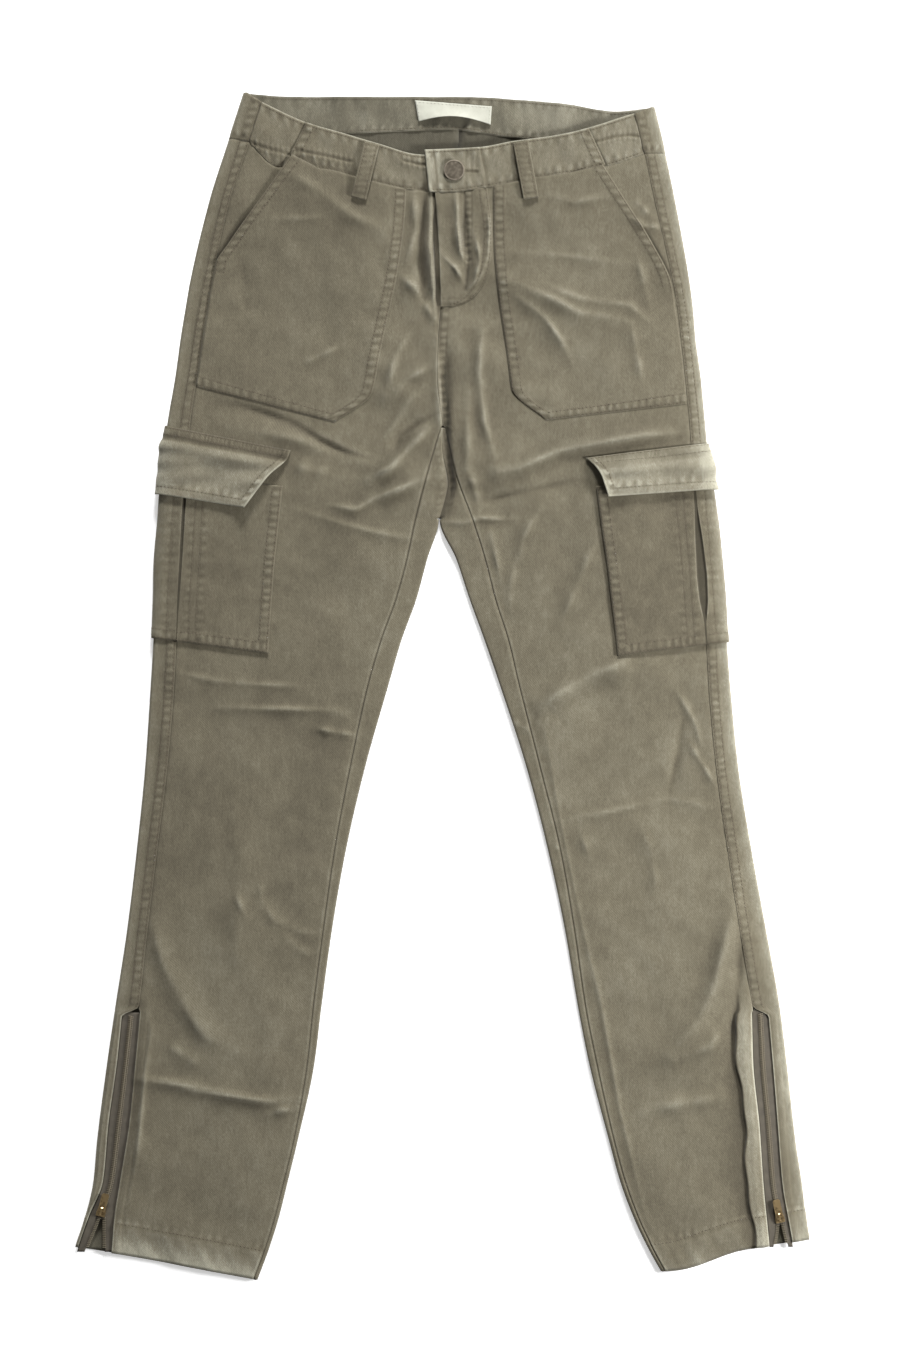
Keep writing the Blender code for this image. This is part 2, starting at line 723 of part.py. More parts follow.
def make_back_band():
    """The back waistband goes round both sides, and its inside shows above the front."""
    seam, top_line = Curve(BACK_SEAM), Curve(BACK_TOP)
    columns = []
    for leg in LEGS.values():
        top_point, foot_point = shifted(SIDE_SEAM_CUT[leg.side], -leg.half_gap)
        side_columns = [
            lambda share, out, leg=leg, a=top_point, b=foot_point: leg.top(
                *mix_point(a, b, share), out + BAND_PROUD
            )
        ]
        top_y = meet(leg.outer, top_line, NOTCH_Y)[1]
        foot_y = meet(leg.outer, seam, NOTCH_Y)[1] + SEAM_GAP
        for angle in ROLL_ANGLES:
            proud = BAND_PROUD * (angle + 90) / 180
            side_columns.append(
                lambda share, out, leg=leg, a=angle, ys=(top_y, foot_y), proud=proud: (
                    leg.outer_roll(a, mix(*ys, share), out + proud)
                )
            )
        for x, foot_y in under_columns(leg, foot_y - SEAM_GAP, seam, leg.centre_back):
            ys = (top_line(x), foot_y + SEAM_GAP)
            side_columns.append(
                lambda share, out, leg=leg, x=x, ys=ys: leg.bottom(x, mix(*ys, share), out)
            )
        if leg.side == "left":
            side_columns.reverse()
        else:
            x = leg.centre_back(seam(0))
            ys = (top_line(x), seam(x) + SEAM_GAP)
            side_columns.append(
                lambda share, out, leg=leg, x=x, ys=ys: leg.bottom(x, mix(*ys, share), out)
            )
        columns += side_columns
    rows = [[pair(lambda d, c=c: c(s, d), 0, -BAND) for c in columns] for s in (0, 0.5, 1)]
    return wall("waistband_back", rows)


def across(start, end, width):
    """Half of a strip's width, as a step square to its length."""
    dx, dy = end[0] - start[0], end[1] - start[1]
    scale = width / 2 / math.hypot(dx, dy)
    return -dy * scale, dx * scale


def make_front_loop(leg, start, end):
    side_x, side_y = across(start, end, LOOP_WIDTH)
    below = Below(f"waistband_front_{leg.side}", f"pocket_{leg.side}")
    grid, arch = [], []
    for share, out in LOOP_ARCH:
        x, y = mix_point(start, end, share)
        grid.append([(x + turn * side_x, y + turn * side_y) for turn in (-1, 0, 1)])
        arch.append(leg.over(x, y) + out)
    rows = []
    for places, heights, crown in zip(grid, drape(leg, below, grid), arch):
        height = max(*heights, crown)
        rows.append([((x, y, height + CLOTH), (x, y, height)) for x, y in places])
    return wall(f"belt_loop_front_{leg.side}", rows)


def make_back_loop(name, x):
    rows = []
    for y in (Curve(BACK_TOP)(x) - 1, Curve(BACK_SEAM)(x) - LOOP_TAIL):
        xs = (x - LOOP_WIDTH / 2, x + LOOP_WIDTH / 2)
        rows.append([((side, y, CLOTH), (side, y, 0)) for side in xs])
    return wall(f"belt_loop_{name}", rows)


def make_label():
    top_a, top_b, foot_b, foot_a = LABEL
    leg = LEGS["right"]
    rows = []
    for share in (0, 0.5, 1):
        row = []
        for k in range(5):
            x, y = mix_point(mix_point(top_a, top_b, k / 4), mix_point(foot_a, foot_b, k / 4), share)
            base = leg.under(x, y) + BAND + LAY_GAP
            row.append(((x, y, base + LABEL_THICK), (x, y, base)))
        rows.append(row)
    return wall("waist_label", rows, "label")


def wrapped_rows(leg, piece, below, columns, roll_out, thick_at):
    """Rows of a piece that goes round the side of the leg, centred on the side seam.

    Each of `columns` is a distance from the side seam towards the piece's inner end: a share of
    its reach, and millimetres more.
    """
    table, top_ys, foot_ys = piece
    edge_place = -0.25  # the leg's outer edge, as a share of the reach
    behind = (0.2, 0.6, 1.0)  # columns of the hidden part, as shares of its width
    angles = (90, 45, 0, -45, -90)

    def height_of(share, place):
        hidden = (1 - place) / 2
        return mix(mix(*top_ys, hidden), mix(*foot_ys, hidden), share)

    grid = []
    for share, reach in table:
        row = []
        for part, more in columns:
            distance = part * reach + more
            y = height_of(share, distance / reach)
            row.append((leg.side_seam(y) + leg.inward * distance, y))
        grid.append(row)
    rows = []
    for (share, reach), points, heights in zip(table, grid, drape(leg, below, grid)):
        row = []
        for (part, more), (x, y), z in zip(columns, points, heights):
            row.append(((x, y, z + thick_at(part * reach + more)), (x, y, z)))
        out = roll_out(share)
        y = height_of(share, edge_place)
        for angle in angles:
            row.append(pair(lambda d, a=angle, y=y: leg.outer_roll(a, y, d), out + CLOTH, out))
        to_edge = abs(leg.side_seam(y) - leg.outer(y))
        for part in behind:
            y = height_of(share, -mix(to_edge / reach, 1, part))
            x = leg.outer(y) + leg.inward * mix(ROLL_ROOM, reach - to_edge, part)
            row.append(pair(lambda d, x=x, y=y: leg.bottom(x, y, d), out + CLOTH, out))
        rows.append(row)
    return rows


def make_cargo_pocket(leg):
    """A pocket with a centre pleat: two folded lips, and the slit between them."""
    lip = 1.8 * PLEAT_HALF
    fade = 40.0

    def thick_at(distance):
        on_lip = abs(distance) > PLEAT_HALF * 1.3
        return CLOTH + on_lip * PLEAT_LIP * max(0.0, 1 - abs(distance) / fade)

    below = Below(f"leg_front_{leg.side}", f"leg_back_{leg.side}")
    columns = (
        (1, 0), (0.68, 0), (0.36, 0), (0, lip), (0, PLEAT_HALF), (0, -PLEAT_HALF), (0, -lip),
    )  # fmt: skip
    piece = CARGO_POCKET[leg.side]
    rows = wrapped_rows(leg, piece, below, columns, lambda share: LAY_GAP, thick_at)
    return wall(f"cargo_pocket_{leg.side}", rows)


def make_cargo_flap(leg):
    below = Below(f"leg_front_{leg.side}", f"leg_back_{leg.side}", f"cargo_pocket_{leg.side}")

    def roll_out(share):
        """The flap leaves the leg at its seam and comes to lie over the pocket."""
        return LAY_GAP + LAYER * ramp(share, 0.05, 0.45)

    columns = ((1, 0), (0.7, 0), (0.4, 0), (0, 8), (0, -6), (0, -9.5))
    rows = wrapped_rows(leg, CARGO_FLAP[leg.side], below, columns, roll_out, lambda d: CLOTH)
    return wall(f"cargo_flap_{leg.side}", rows)


def make_button():
    """A shank button: a cap with a raised rim, turned about its own axis."""
    # radius, height
    profile = (
        (0, 0), (5.5, 0), (BUTTON_RADIUS - 0.6, 0.5), (BUTTON_RADIUS, 1.2),
        (BUTTON_RADIUS - 0.3, 2.0), (BUTTON_RADIUS - 1.2, 2.3), (BUTTON_RADIUS - 2.2, 1.9),
        (3.0, 2.1), (0, 2.2),
    )  # fmt: skip
    shape = bmesh.new()
    points = [shape.verts.new((radius, 0, height)) for radius, height in profile]
    edges = [shape.edges.new(ends) for ends in zip(points, points[1:])]
    bmesh.ops.spin(
        shape, geom=points + edges, cent=(0, 0, 0), axis=(0, 0, 1), angle=2 * math.pi,
        steps=24, use_merge=True,
    )  # fmt: skip
    bmesh.ops.remove_doubles(shape, verts=shape.verts, dist=0.001)
    below = Below("waistband_front_left")
    leg = LEGS["left"]
    turns = [math.radians(30 * k) for k in range(12)]
    rim = [(BUTTON_X + 6 * math.cos(t), BUTTON_Y + 6 * math.sin(t)) for t in turns]
    seat = max(below.height(leg, x, y) for x, y in rim) + SEAM_GAP
    return add_object("fly_button", shape, "button_metal", (BUTTON_X, BUTTON_Y, seat))


def make_zip_tape(leg):
    """The zip between the two ankle edges: closed above the slider, and open below it."""
    depth, thick, chain_up = -1.4, 1.0, 0.8
    top_row = LEG_ROWS.index(-272)
    open_row = LEG_ROWS.index(-441)
    slider_row = LEG_ROWS.index(-420)
    lines = leg.cross_lines(Curve(FRONT_SEAM))
    rows, gone = [], set()
    for i in range(top_row, -1, -1):
        gap = leg.inward * SEAM_GAP
        back_x, back_y = meet(leg.back_side_edge, lines[i], LEG_ROWS[i])
        front_x, front_y = meet(leg.front_side_edge, lines[i], LEG_ROWS[i])
        if i == top_row:
            back_y, front_y = back_y - SEAM_GAP, front_y - SEAM_GAP
        chain = chain_up if i > slider_row else 0.0
        back_teeth, front_teeth = leg.zip_lines[2](back_y), leg.zip_lines[3](front_y)
        places = (
            (back_x + gap, back_y, 0.0), (back_teeth, back_y, chain),
            (front_teeth, front_y, chain), (front_x - gap, front_y, 0.0),
        )  # fmt: skip
        row = []
        for x, y, up in places:
            row.append(pair(lambda d, x=x, y=y: leg.top(x, y, d), depth + thick + up, depth))
        rows.append(row)
        if i <= open_row:
            gone.add((len(rows) - 1, 1))
    return wall(f"zip_tape_{leg.side}", rows, "zip_tape", gone)


def prism(shape, outline, low, high):
    """Add an upright prism over an outline to a bmesh."""
    below = [shape.verts.new((x, y, low)) for x, y in outline]
    above = [shape.verts.new((x, y, high)) for x, y in outline]
    shape.faces.new(below)
    shape.faces.new(above)
    for i in range(len(outline)):
        k = (i + 1) % len(outline)
        shape.faces.new((below[i], below[k], above[k], above[i]))


def cutter(name, shape, place, turn):
    """A helper body for a boolean, which is not part of the model."""
    helper = add_object(name, shape, "brass", place, turn)
    helper.hide_render = True
    helper.display_type = "WIRE"
    return helper


def combine(obj, operation, helper):
    step = obj.modifiers.new(helper.name, "BOOLEAN")
    step.operation = operation
    step.object = helper


def slider_place(leg):
    """Where the slider sits on the closed zip, and its turn about Z."""
    x, y, turn = SLIDERS[leg.side]
    seat = leg.over(x, y) - 0.4 + SEAM_GAP
    return (x, y, seat), -math.radians(turn)


def make_slider(leg):
    """A shield-shaped slider with a bridge that the pull's eye goes round."""
    place, turn = slider_place(leg)
    half = SLIDER_LENGTH / 2
    # narrow at the closed end, wide where the two rows of teeth enter
    shield = (
        (-2.2, half), (2.2, half), (3.0, half - 2.5), (3.9, -half + 3), (3.6, -half),
        (-3.6, -half), (-3.9, -half + 3), (-3.0, half - 2.5),
    )  # fmt: skip
    body, bridge = bmesh.new(), bmesh.new()
    prism(body, shield, 0, SLIDER_THICK)
    slider = add_object(f"zip_slider_{leg.side}", body, "brass", place, turn)

    # the bridge, seen from the side, is one outline swept across the slider
    foot, crown, corner = SLIDER_THICK - 0.5, SLIDER_THICK + BRIDGE_ROOM, 0.8
    inner = BRIDGE_HALF - BRIDGE_WALL
    arch = (
        (-BRIDGE_HALF, foot), (-BRIDGE_HALF, crown), (-BRIDGE_HALF + corner, crown + 0.7),
        (BRIDGE_HALF - corner, crown + 0.7), (BRIDGE_HALF, crown), (BRIDGE_HALF, foot),
        (inner, foot), (inner, crown), (-inner, crown), (-inner, foot),
    )  # fmt: skip
    prism(bridge, arch, -BRIDGE_WIDTH / 2, BRIDGE_WIDTH / 2)
    for vertex in bridge.verts:
        vertex.co = (vertex.co.z, vertex.co.x, vertex.co.y)
    combine(slider, "UNION", cutter(f"bridge_{leg.side}", bridge, place, turn))
    return slider


def make_pull(leg):
    """The pull tab, flat on the zip and pointing to the waist. Its origin is the hinge axis."""
    (x, y, seat), turn = slider_place(leg)
    half, eye_half, eye_end = PULL_WIDTH / 2, PULL_EYE[0] / 2, PULL_EYE[1]
    bar = PULL_THICK / 2
    corner = 1.2
    outline = (
        (-half, -bar), (half, -bar), (half, PULL_LENGTH - corner),
        (half - corner, PULL_LENGTH), (corner - half, PULL_LENGTH), (-half, PULL_LENGTH - corner),
    )  # fmt: skip
    eye = ((-eye_half, bar), (eye_half, bar), (eye_half, eye_end), (-eye_half, eye_end))
    plate, hole = bmesh.new(), bmesh.new()
    prism(plate, outline, -bar, bar)
    prism(hole, eye, -PULL_THICK, PULL_THICK)
    place = (x, y, seat + SLIDER_THICK + BRIDGE_ROOM / 2)
    pull = add_object(f"zip_pull_{leg.side}", plate, "brass", place, turn)
    combine(pull, "DIFFERENCE", cutter(f"pull_eye_{leg.side}", hole, place, turn))
    return pull


def main():
    for obj in list(bpy.data.objects):
        bpy.data.objects.remove(obj)
    for leg in LEGS.values():
        make_front_panel(leg)
        make_back_panel(leg)
        make_patch_pocket(leg)
        make_cargo_pocket(leg)
        make_cargo_flap(leg)
        make_zip_tape(leg)
        make_slider(leg)
        make_pull(leg)
    make_back_band()
    make_front_bands()
    make_fly()
    make_button()
    make_label()
    for side, ends in FRONT_LOOPS.items():
        make_front_loop(LEGS[side], *ends)
    for name, x in BACK_LOOPS.items():
        make_back_loop(name, x)


main()
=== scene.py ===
"""Looks of the skinny cargo trousers, laid flat with the front up.

The sizes below are in millimetres, in the garment's own plan: the waist points along +Y, and
right and left are the wearer's, so the right leg lies at -X. Every piece of cloth is a thin
shell on the form of its CAD solid, with its creases, seams and stitches.
"""

import math

import bpy
import numpy as np
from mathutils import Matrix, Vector


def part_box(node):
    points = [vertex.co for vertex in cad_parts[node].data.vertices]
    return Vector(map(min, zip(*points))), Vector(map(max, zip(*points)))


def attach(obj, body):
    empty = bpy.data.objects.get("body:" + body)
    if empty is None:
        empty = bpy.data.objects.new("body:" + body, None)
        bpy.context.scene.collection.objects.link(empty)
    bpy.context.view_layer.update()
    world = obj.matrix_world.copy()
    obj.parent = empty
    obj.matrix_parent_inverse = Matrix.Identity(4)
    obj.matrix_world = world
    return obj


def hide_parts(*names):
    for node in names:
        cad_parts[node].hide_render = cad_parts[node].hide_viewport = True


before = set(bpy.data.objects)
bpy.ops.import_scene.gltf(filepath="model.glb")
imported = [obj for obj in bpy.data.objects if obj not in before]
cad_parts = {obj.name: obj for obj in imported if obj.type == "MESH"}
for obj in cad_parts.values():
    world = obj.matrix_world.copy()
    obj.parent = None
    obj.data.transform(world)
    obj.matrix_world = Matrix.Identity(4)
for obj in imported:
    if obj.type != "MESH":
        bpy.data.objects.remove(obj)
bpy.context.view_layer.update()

MM = 0.001
ORIGIN_X = 1.65  # the middle of the outline, across, in the numbers below
BODY = "trousers"

# Thicknesses, and the gaps between things that lie on each other
CLOTH = 1.2
BAND = 2.0  # the waistband
BAND_PROUD = 0.8  # how far the waistband's face stands over the panels
SEAM_GAP = 0.06
LAY_GAP = 0.45
INNER_GAP = 1.2  # between the front and the back of a leg
STACK = 2 * CLOTH + INNER_GAP
LAYER = CLOTH + LAY_GAP
FACE_LOWEST, LINING_LOWEST = 0.02, 0.3  # over the surface that the trousers lie on
WAIST_RISE = 0.9  # how far the front stands up towards the waist
CROWN = 0.4  # how far the middle of a leg stands up over its edges
LOFT = 1.5  # how far the front layer stands off the back one where nothing holds it down
TUCK = 0.9  # how far the panels' tops go in under the waistband

# Heights along the garment
NOTCH_Y = 137.0  # where the gap between the legs ends
CROTCH_Y = 212.0
ZIP_TOP_Y = -266.0
WAIST_LEVEL = 437.0  # of the waist seam, where it meets the side seam

# The rows of the long panels, from the hem up: where the distance between them changes, and
# the distances
ROW_STOPS = (-30.0, NOTCH_Y, CROTCH_Y, WAIST_LEVEL)
ROW_PITCHES = (2.7, 1.7, 1.7, 2.1)

# Across the hips: y, right outer edge, right side seam, centre front, centre back,
# left side seam, left outer edge
HIP_SECTIONS = (
    (486, -161, -145, 4, 15, 154, 172), (446, -174, -156, 4, 15, 165, 182),
    (399, -189, -172, 4, 12, 175, 192), (333, -205, -187, 3, 8, 190, 204),
    (310, -209, -191, 0, 6, 194, 207), (285, -213, -195, -2, 5, 197, 209),
    (255, -217, -199, -3, 3, 200, 213), (212, -224, -205, 2, 0, 204, 217),
)  # fmt: skip

# Down each leg: y, outer edge, side seam, inseam, inner edge
LEG_SECTIONS = {
    "right": (
        (212, -224, -205, 0, 0), (175, -227.5, -208, -11, 0), (137, -230, -210.5, -21, -1.2),
        (104, -233, -212.5, -28, -11), (71, -234, -214.5, -37, -20), (38, -235.2, -216, -49, -32),
        (0, -237.5, -218, -60, -43), (-65, -242, -223.5, -74, -61.5),
        (-134, -249, -232, -87, -77.5), (-200, -257, -240, -96.5, -89),
        (-262, -266.5, -247, -104.5, -97.5), (-310, -273.5, -257, -109.5, -103.5),
        (-372, -281.5, -266, -120.5, -117), (-405, -284.5, -270, -128.5, -125),
        (-437, -292, -278, -136.5, -133), (-462, -300, -284, -144.5, -141),
        (-486, -305, -286, -153.5, -150),
    ),
    "left": (
        (212, 217, 204, 4, 0), (175, 220.5, 206.5, 12, 0), (137, 225.5, 209.5, 26, -0.8),
        (104, 229, 212.5, 36.5, 13), (71, 232, 215, 45, 24), (38, 234.4, 217.5, 55.5, 36),
        (0, 237.5, 219.5, 64.5, 49), (-65, 244, 225.5, 81, 70), (-134, 255, 235, 98, 88),
        (-200, 267, 245, 109.5, 102), (-262, 278, 255.5, 118.5, 112.5), (-310, 284, 264, 128, 122),
        (-372, 291, 269.5, 142, 138), (-405, 296, 272, 151, 147), (-437, 300, 276, 162.8, 159),
        (-462, 304, 279, 174.8, 171), (-486, 308, 280, 188, 184.5),
    ),
}  # fmt: skip
SEAT_SEAM = ((212, 2), (195, 1.5), (166, 6), (155, 4), (137, -1))

# Each ankle zip: y, edge of the back panel, edge of the front panel, and the two rows of teeth
ZIP_SECTIONS = {
    "right": (
        (-270, -261, -246.5, -256, -251), (-308, -265, -250, -260, -255),
        (-358, -272, -255, -266, -261), (-405, -276.5, -262.5, -272, -267),
        (-434, -288, -267, -280, -275), (-464, -299, -269.5, -292, -275),
    ),
    "left": (
        (-268, 268.5, 255, 264.5, 259.5), (-308, 272, 256, 266.5, 261.5),
        (-358, 276, 261, 271, 266), (-408, 280, 264.5, 275, 270),
        (-440, 285.5, 267.5, 280.5, 275.5), (-460, 289, 269.5, 285, 272.5),
    ),
}  # fmt: skip
SLIDERS = {"right": (-277.5, -429.0), "left": (277.5, -434.0)}

# Edges that run across the garment: x, y
HEM = {
    "right": ((-300, -459), (-269, -464), (-150, -486)),
    "left": ((181, -479), (194, -478), (249, -461), (269, -458), (304, -453)),
}  # fmt: skip
BACK_SEAM = ((-174, 448), (-115, 451), (-23, 455), (5, 456), (62, 449), (131, 443), (184, 436))
BACK_TOP = ((-161, 486), (-120, 483), (16, 483), (58, 481), (104, 477), (144, 471), (173, 474))
FRONT_SEAM = (
    (-158, 446), (-132, 424), (-99, 423), (-57, 413), (-27, 406.5), (4, 404), (38, 408),
    (78, 415.5), (106, 419.5), (136, 425), (166, 435),
)  # fmt: skip
FRONT_TOP = {
    "right": (
        (-161, 486), (-146, 478), (-111, 462), (-82, 453.5), (-50, 444), (-20, 435.5), (4, 434),
    ),
    "left": ((-13, 439), (31, 441), (59, 446), (98, 451.5), (121, 457), (159, 469), (175, 473)),
}  # fmt: skip
# How far the front band's lower edge climbs off the panel towards the pocket: x, how far
BAND_CLIMB = {"right": ((-123, 11.5), (-99, 0)), "left": ((106, 0), (135, 2))}
# Cuts through the waistband, each from a top point to a foot point: at the pocket mouth, where
# the side piece's cut ends lower, and at the side seam
POCKET_CUT = {"right": ((-110, 461.5), (-123, 435)), "left": ((121, 457), (135, 427))}
SIDE_CUT_LOW = {"right": (-131, 424.5), "left": (136, 425.5)}
SIDE_SEAM_CUT = {"right": ((-146, 478), (-157, 446)), "left": ((158.5, 468.5), (166.5, 436))}
TONGUE = ((-13, 439), (-9.5, 404.5))  # the free end of the left front band
LAP_END = 4.0  # the right front band ends here, under the left one
LAP_SLOPE = (14, 46)  # the left band comes down to the panel between these x

# The fly overlap: y, its free edge, the curved seam that holds it
FLY_SECTIONS = (
    (404.5, -4.5, 38), (390, -3.5, 40.5), (370, -2, 42), (350, -1, 41), (335, -0.5, 37.5),
    (323, 0, 31), (315, 0, 21), (311, 0, 9),
)  # fmt: skip

# Front patch pockets, row by row from the waistband down: outer x, y, inner x, y
PATCH_SECTIONS = {
    "right": (
        (-122, 434, -28, 406), (-146, 401, -29, 387), (-172, 365, -32, 358), (-186, 342, -37, 329),
        (-190, 312, -43, 302), (-195, 280, -50, 269), (-199, 255, -56, 240), (-200, 245, -87, 216),
    ),
    "left": (
        (133, 425, 43, 408), (153, 395, 43, 385), (173, 363, 43.5, 359), (189, 330, 46, 330),
        (193, 306, 49, 306), (197, 276, 53, 280), (200, 252, 56, 258), (201, 240, 58, 243),
        (201, 231, 86, 218),
    ),
}  # fmt: skip
MOUTH_FOOT_Y = {"right": 342, "left": 330}  # where each pocket mouth ends at the side seam

# Cargo pockets and flaps: rows of (share of the drop, reach from the side seam), then y at
# the inner end and at the hidden end behind the leg, at the top and at the foot
CARGO_POCKET = {
    "right": (((0, 80), (0.17, 79), (0.33, 78), (0.5, 77), (0.67, 76.5), (0.83, 76), (1, 75.5)),
              (164, 178), (27, 47)),
    "left": (((0, 80), (0.17, 79), (0.33, 78), (0.5, 76.5), (0.67, 75.5), (0.83, 74.5), (1, 73.5)),
             (164, 174), (25, 43)),
}  # fmt: skip
CARGO_FLAP = {
    "right": (((0, 84), (0.14, 82), (0.45, 68), (0.75, 58), (1, 50)), (193, 226), (146, 162)),
    "left": (((0, 87), (0.25, 79), (0.5, 75), (0.75, 73), (1, 71)), (187, 208), (155, 165)),
}
# The slit of each pocket's pleat: y, half its width
PLEAT_SLIT = {
    "right": ((54, 0.4), (66, 0.8), (90, 1.1), (135, 1.4), (160, 1.5)),
    "left": ((52, 0.8), (70, 3.4), (90, 4.2), (120, 3.0), (146, 1.2), (160, 1.0)),
}

LOOP_WIDTH = 12.5
FRONT_LOOPS = {"right": ((-56, 444), (-67, 399)), "left": ((65.5, 445), (74, 399))}
LOOP_ARCH = ((0, 1.6), (0.12, 2.2), (0.35, 3.1), (0.6, 3.2), (0.8, 3.0), (1, 2.4))
BACK_LOOPS = {"back_right": -92.0, "back_centre": 14.0, "back_left": 118.0}
LOOP_TAIL = 15.0

LABEL = ((-21, 480), (42, 475), (41, 460), (-18, 462))
BUTTON_X, BUTTON_Y = 11.0, 422.0

# How much of one layer's thickness each thing lifts the leg by: y, share
POCKET_LIFT = ((-50, 0), (25, 1), (212, 1), (277, 0))
FLAP_LIFT = ((60, 0), (137, 1), (245, 1), (308, 0))
LOOP_LIFT = ((340, 0), (400, 1))
LIFT_REACH = (66, 140)

# The broad folds of the front layer: height, half width, the points of the crest
FOLDS = (
    (1.8, 12, ((-140, 212), (-115, 203), (-80, 190), (-52, 180))),
    (1.8, 10, ((-58, 170), (-37, 182), (-14, 209))),
    (1.3, 9, ((-56, 153), (-33, 160), (-15, 170))),
    (1.8, 11, ((46, 176), (69, 180), (98, 193), (140, 204), (185, 209))),
    (1.0, 9, ((35, 288), (32, 258), (37, 216), (45, 190))),
    (1.5, 12, ((-6, 264), (-24, 254), (-42, 236))),
    (1.8, 13, ((84, -14), (98, -5), (123, 7), (150, 14))),
    (1.1, 16, ((-232, -200), (-218, -245), (-193, -285), (-171, -298))),
    (1.1, 9, ((-244, -321), (-197, -329), (-152, -335), (-117, -337))),
    (1.5, 14, ((240, -180), (233, -208), (225, -241), (213, -273), (188, -300))),
    (1.2, 12, ((168, -347), (196, -341), (229, -337))),
    (0.7, 28, ((-129, 405), (-102, 400), (-73, 386), (-50, 372))),
    (0.7, 28, ((75, 330), (100, 315), (150, 300))),
)

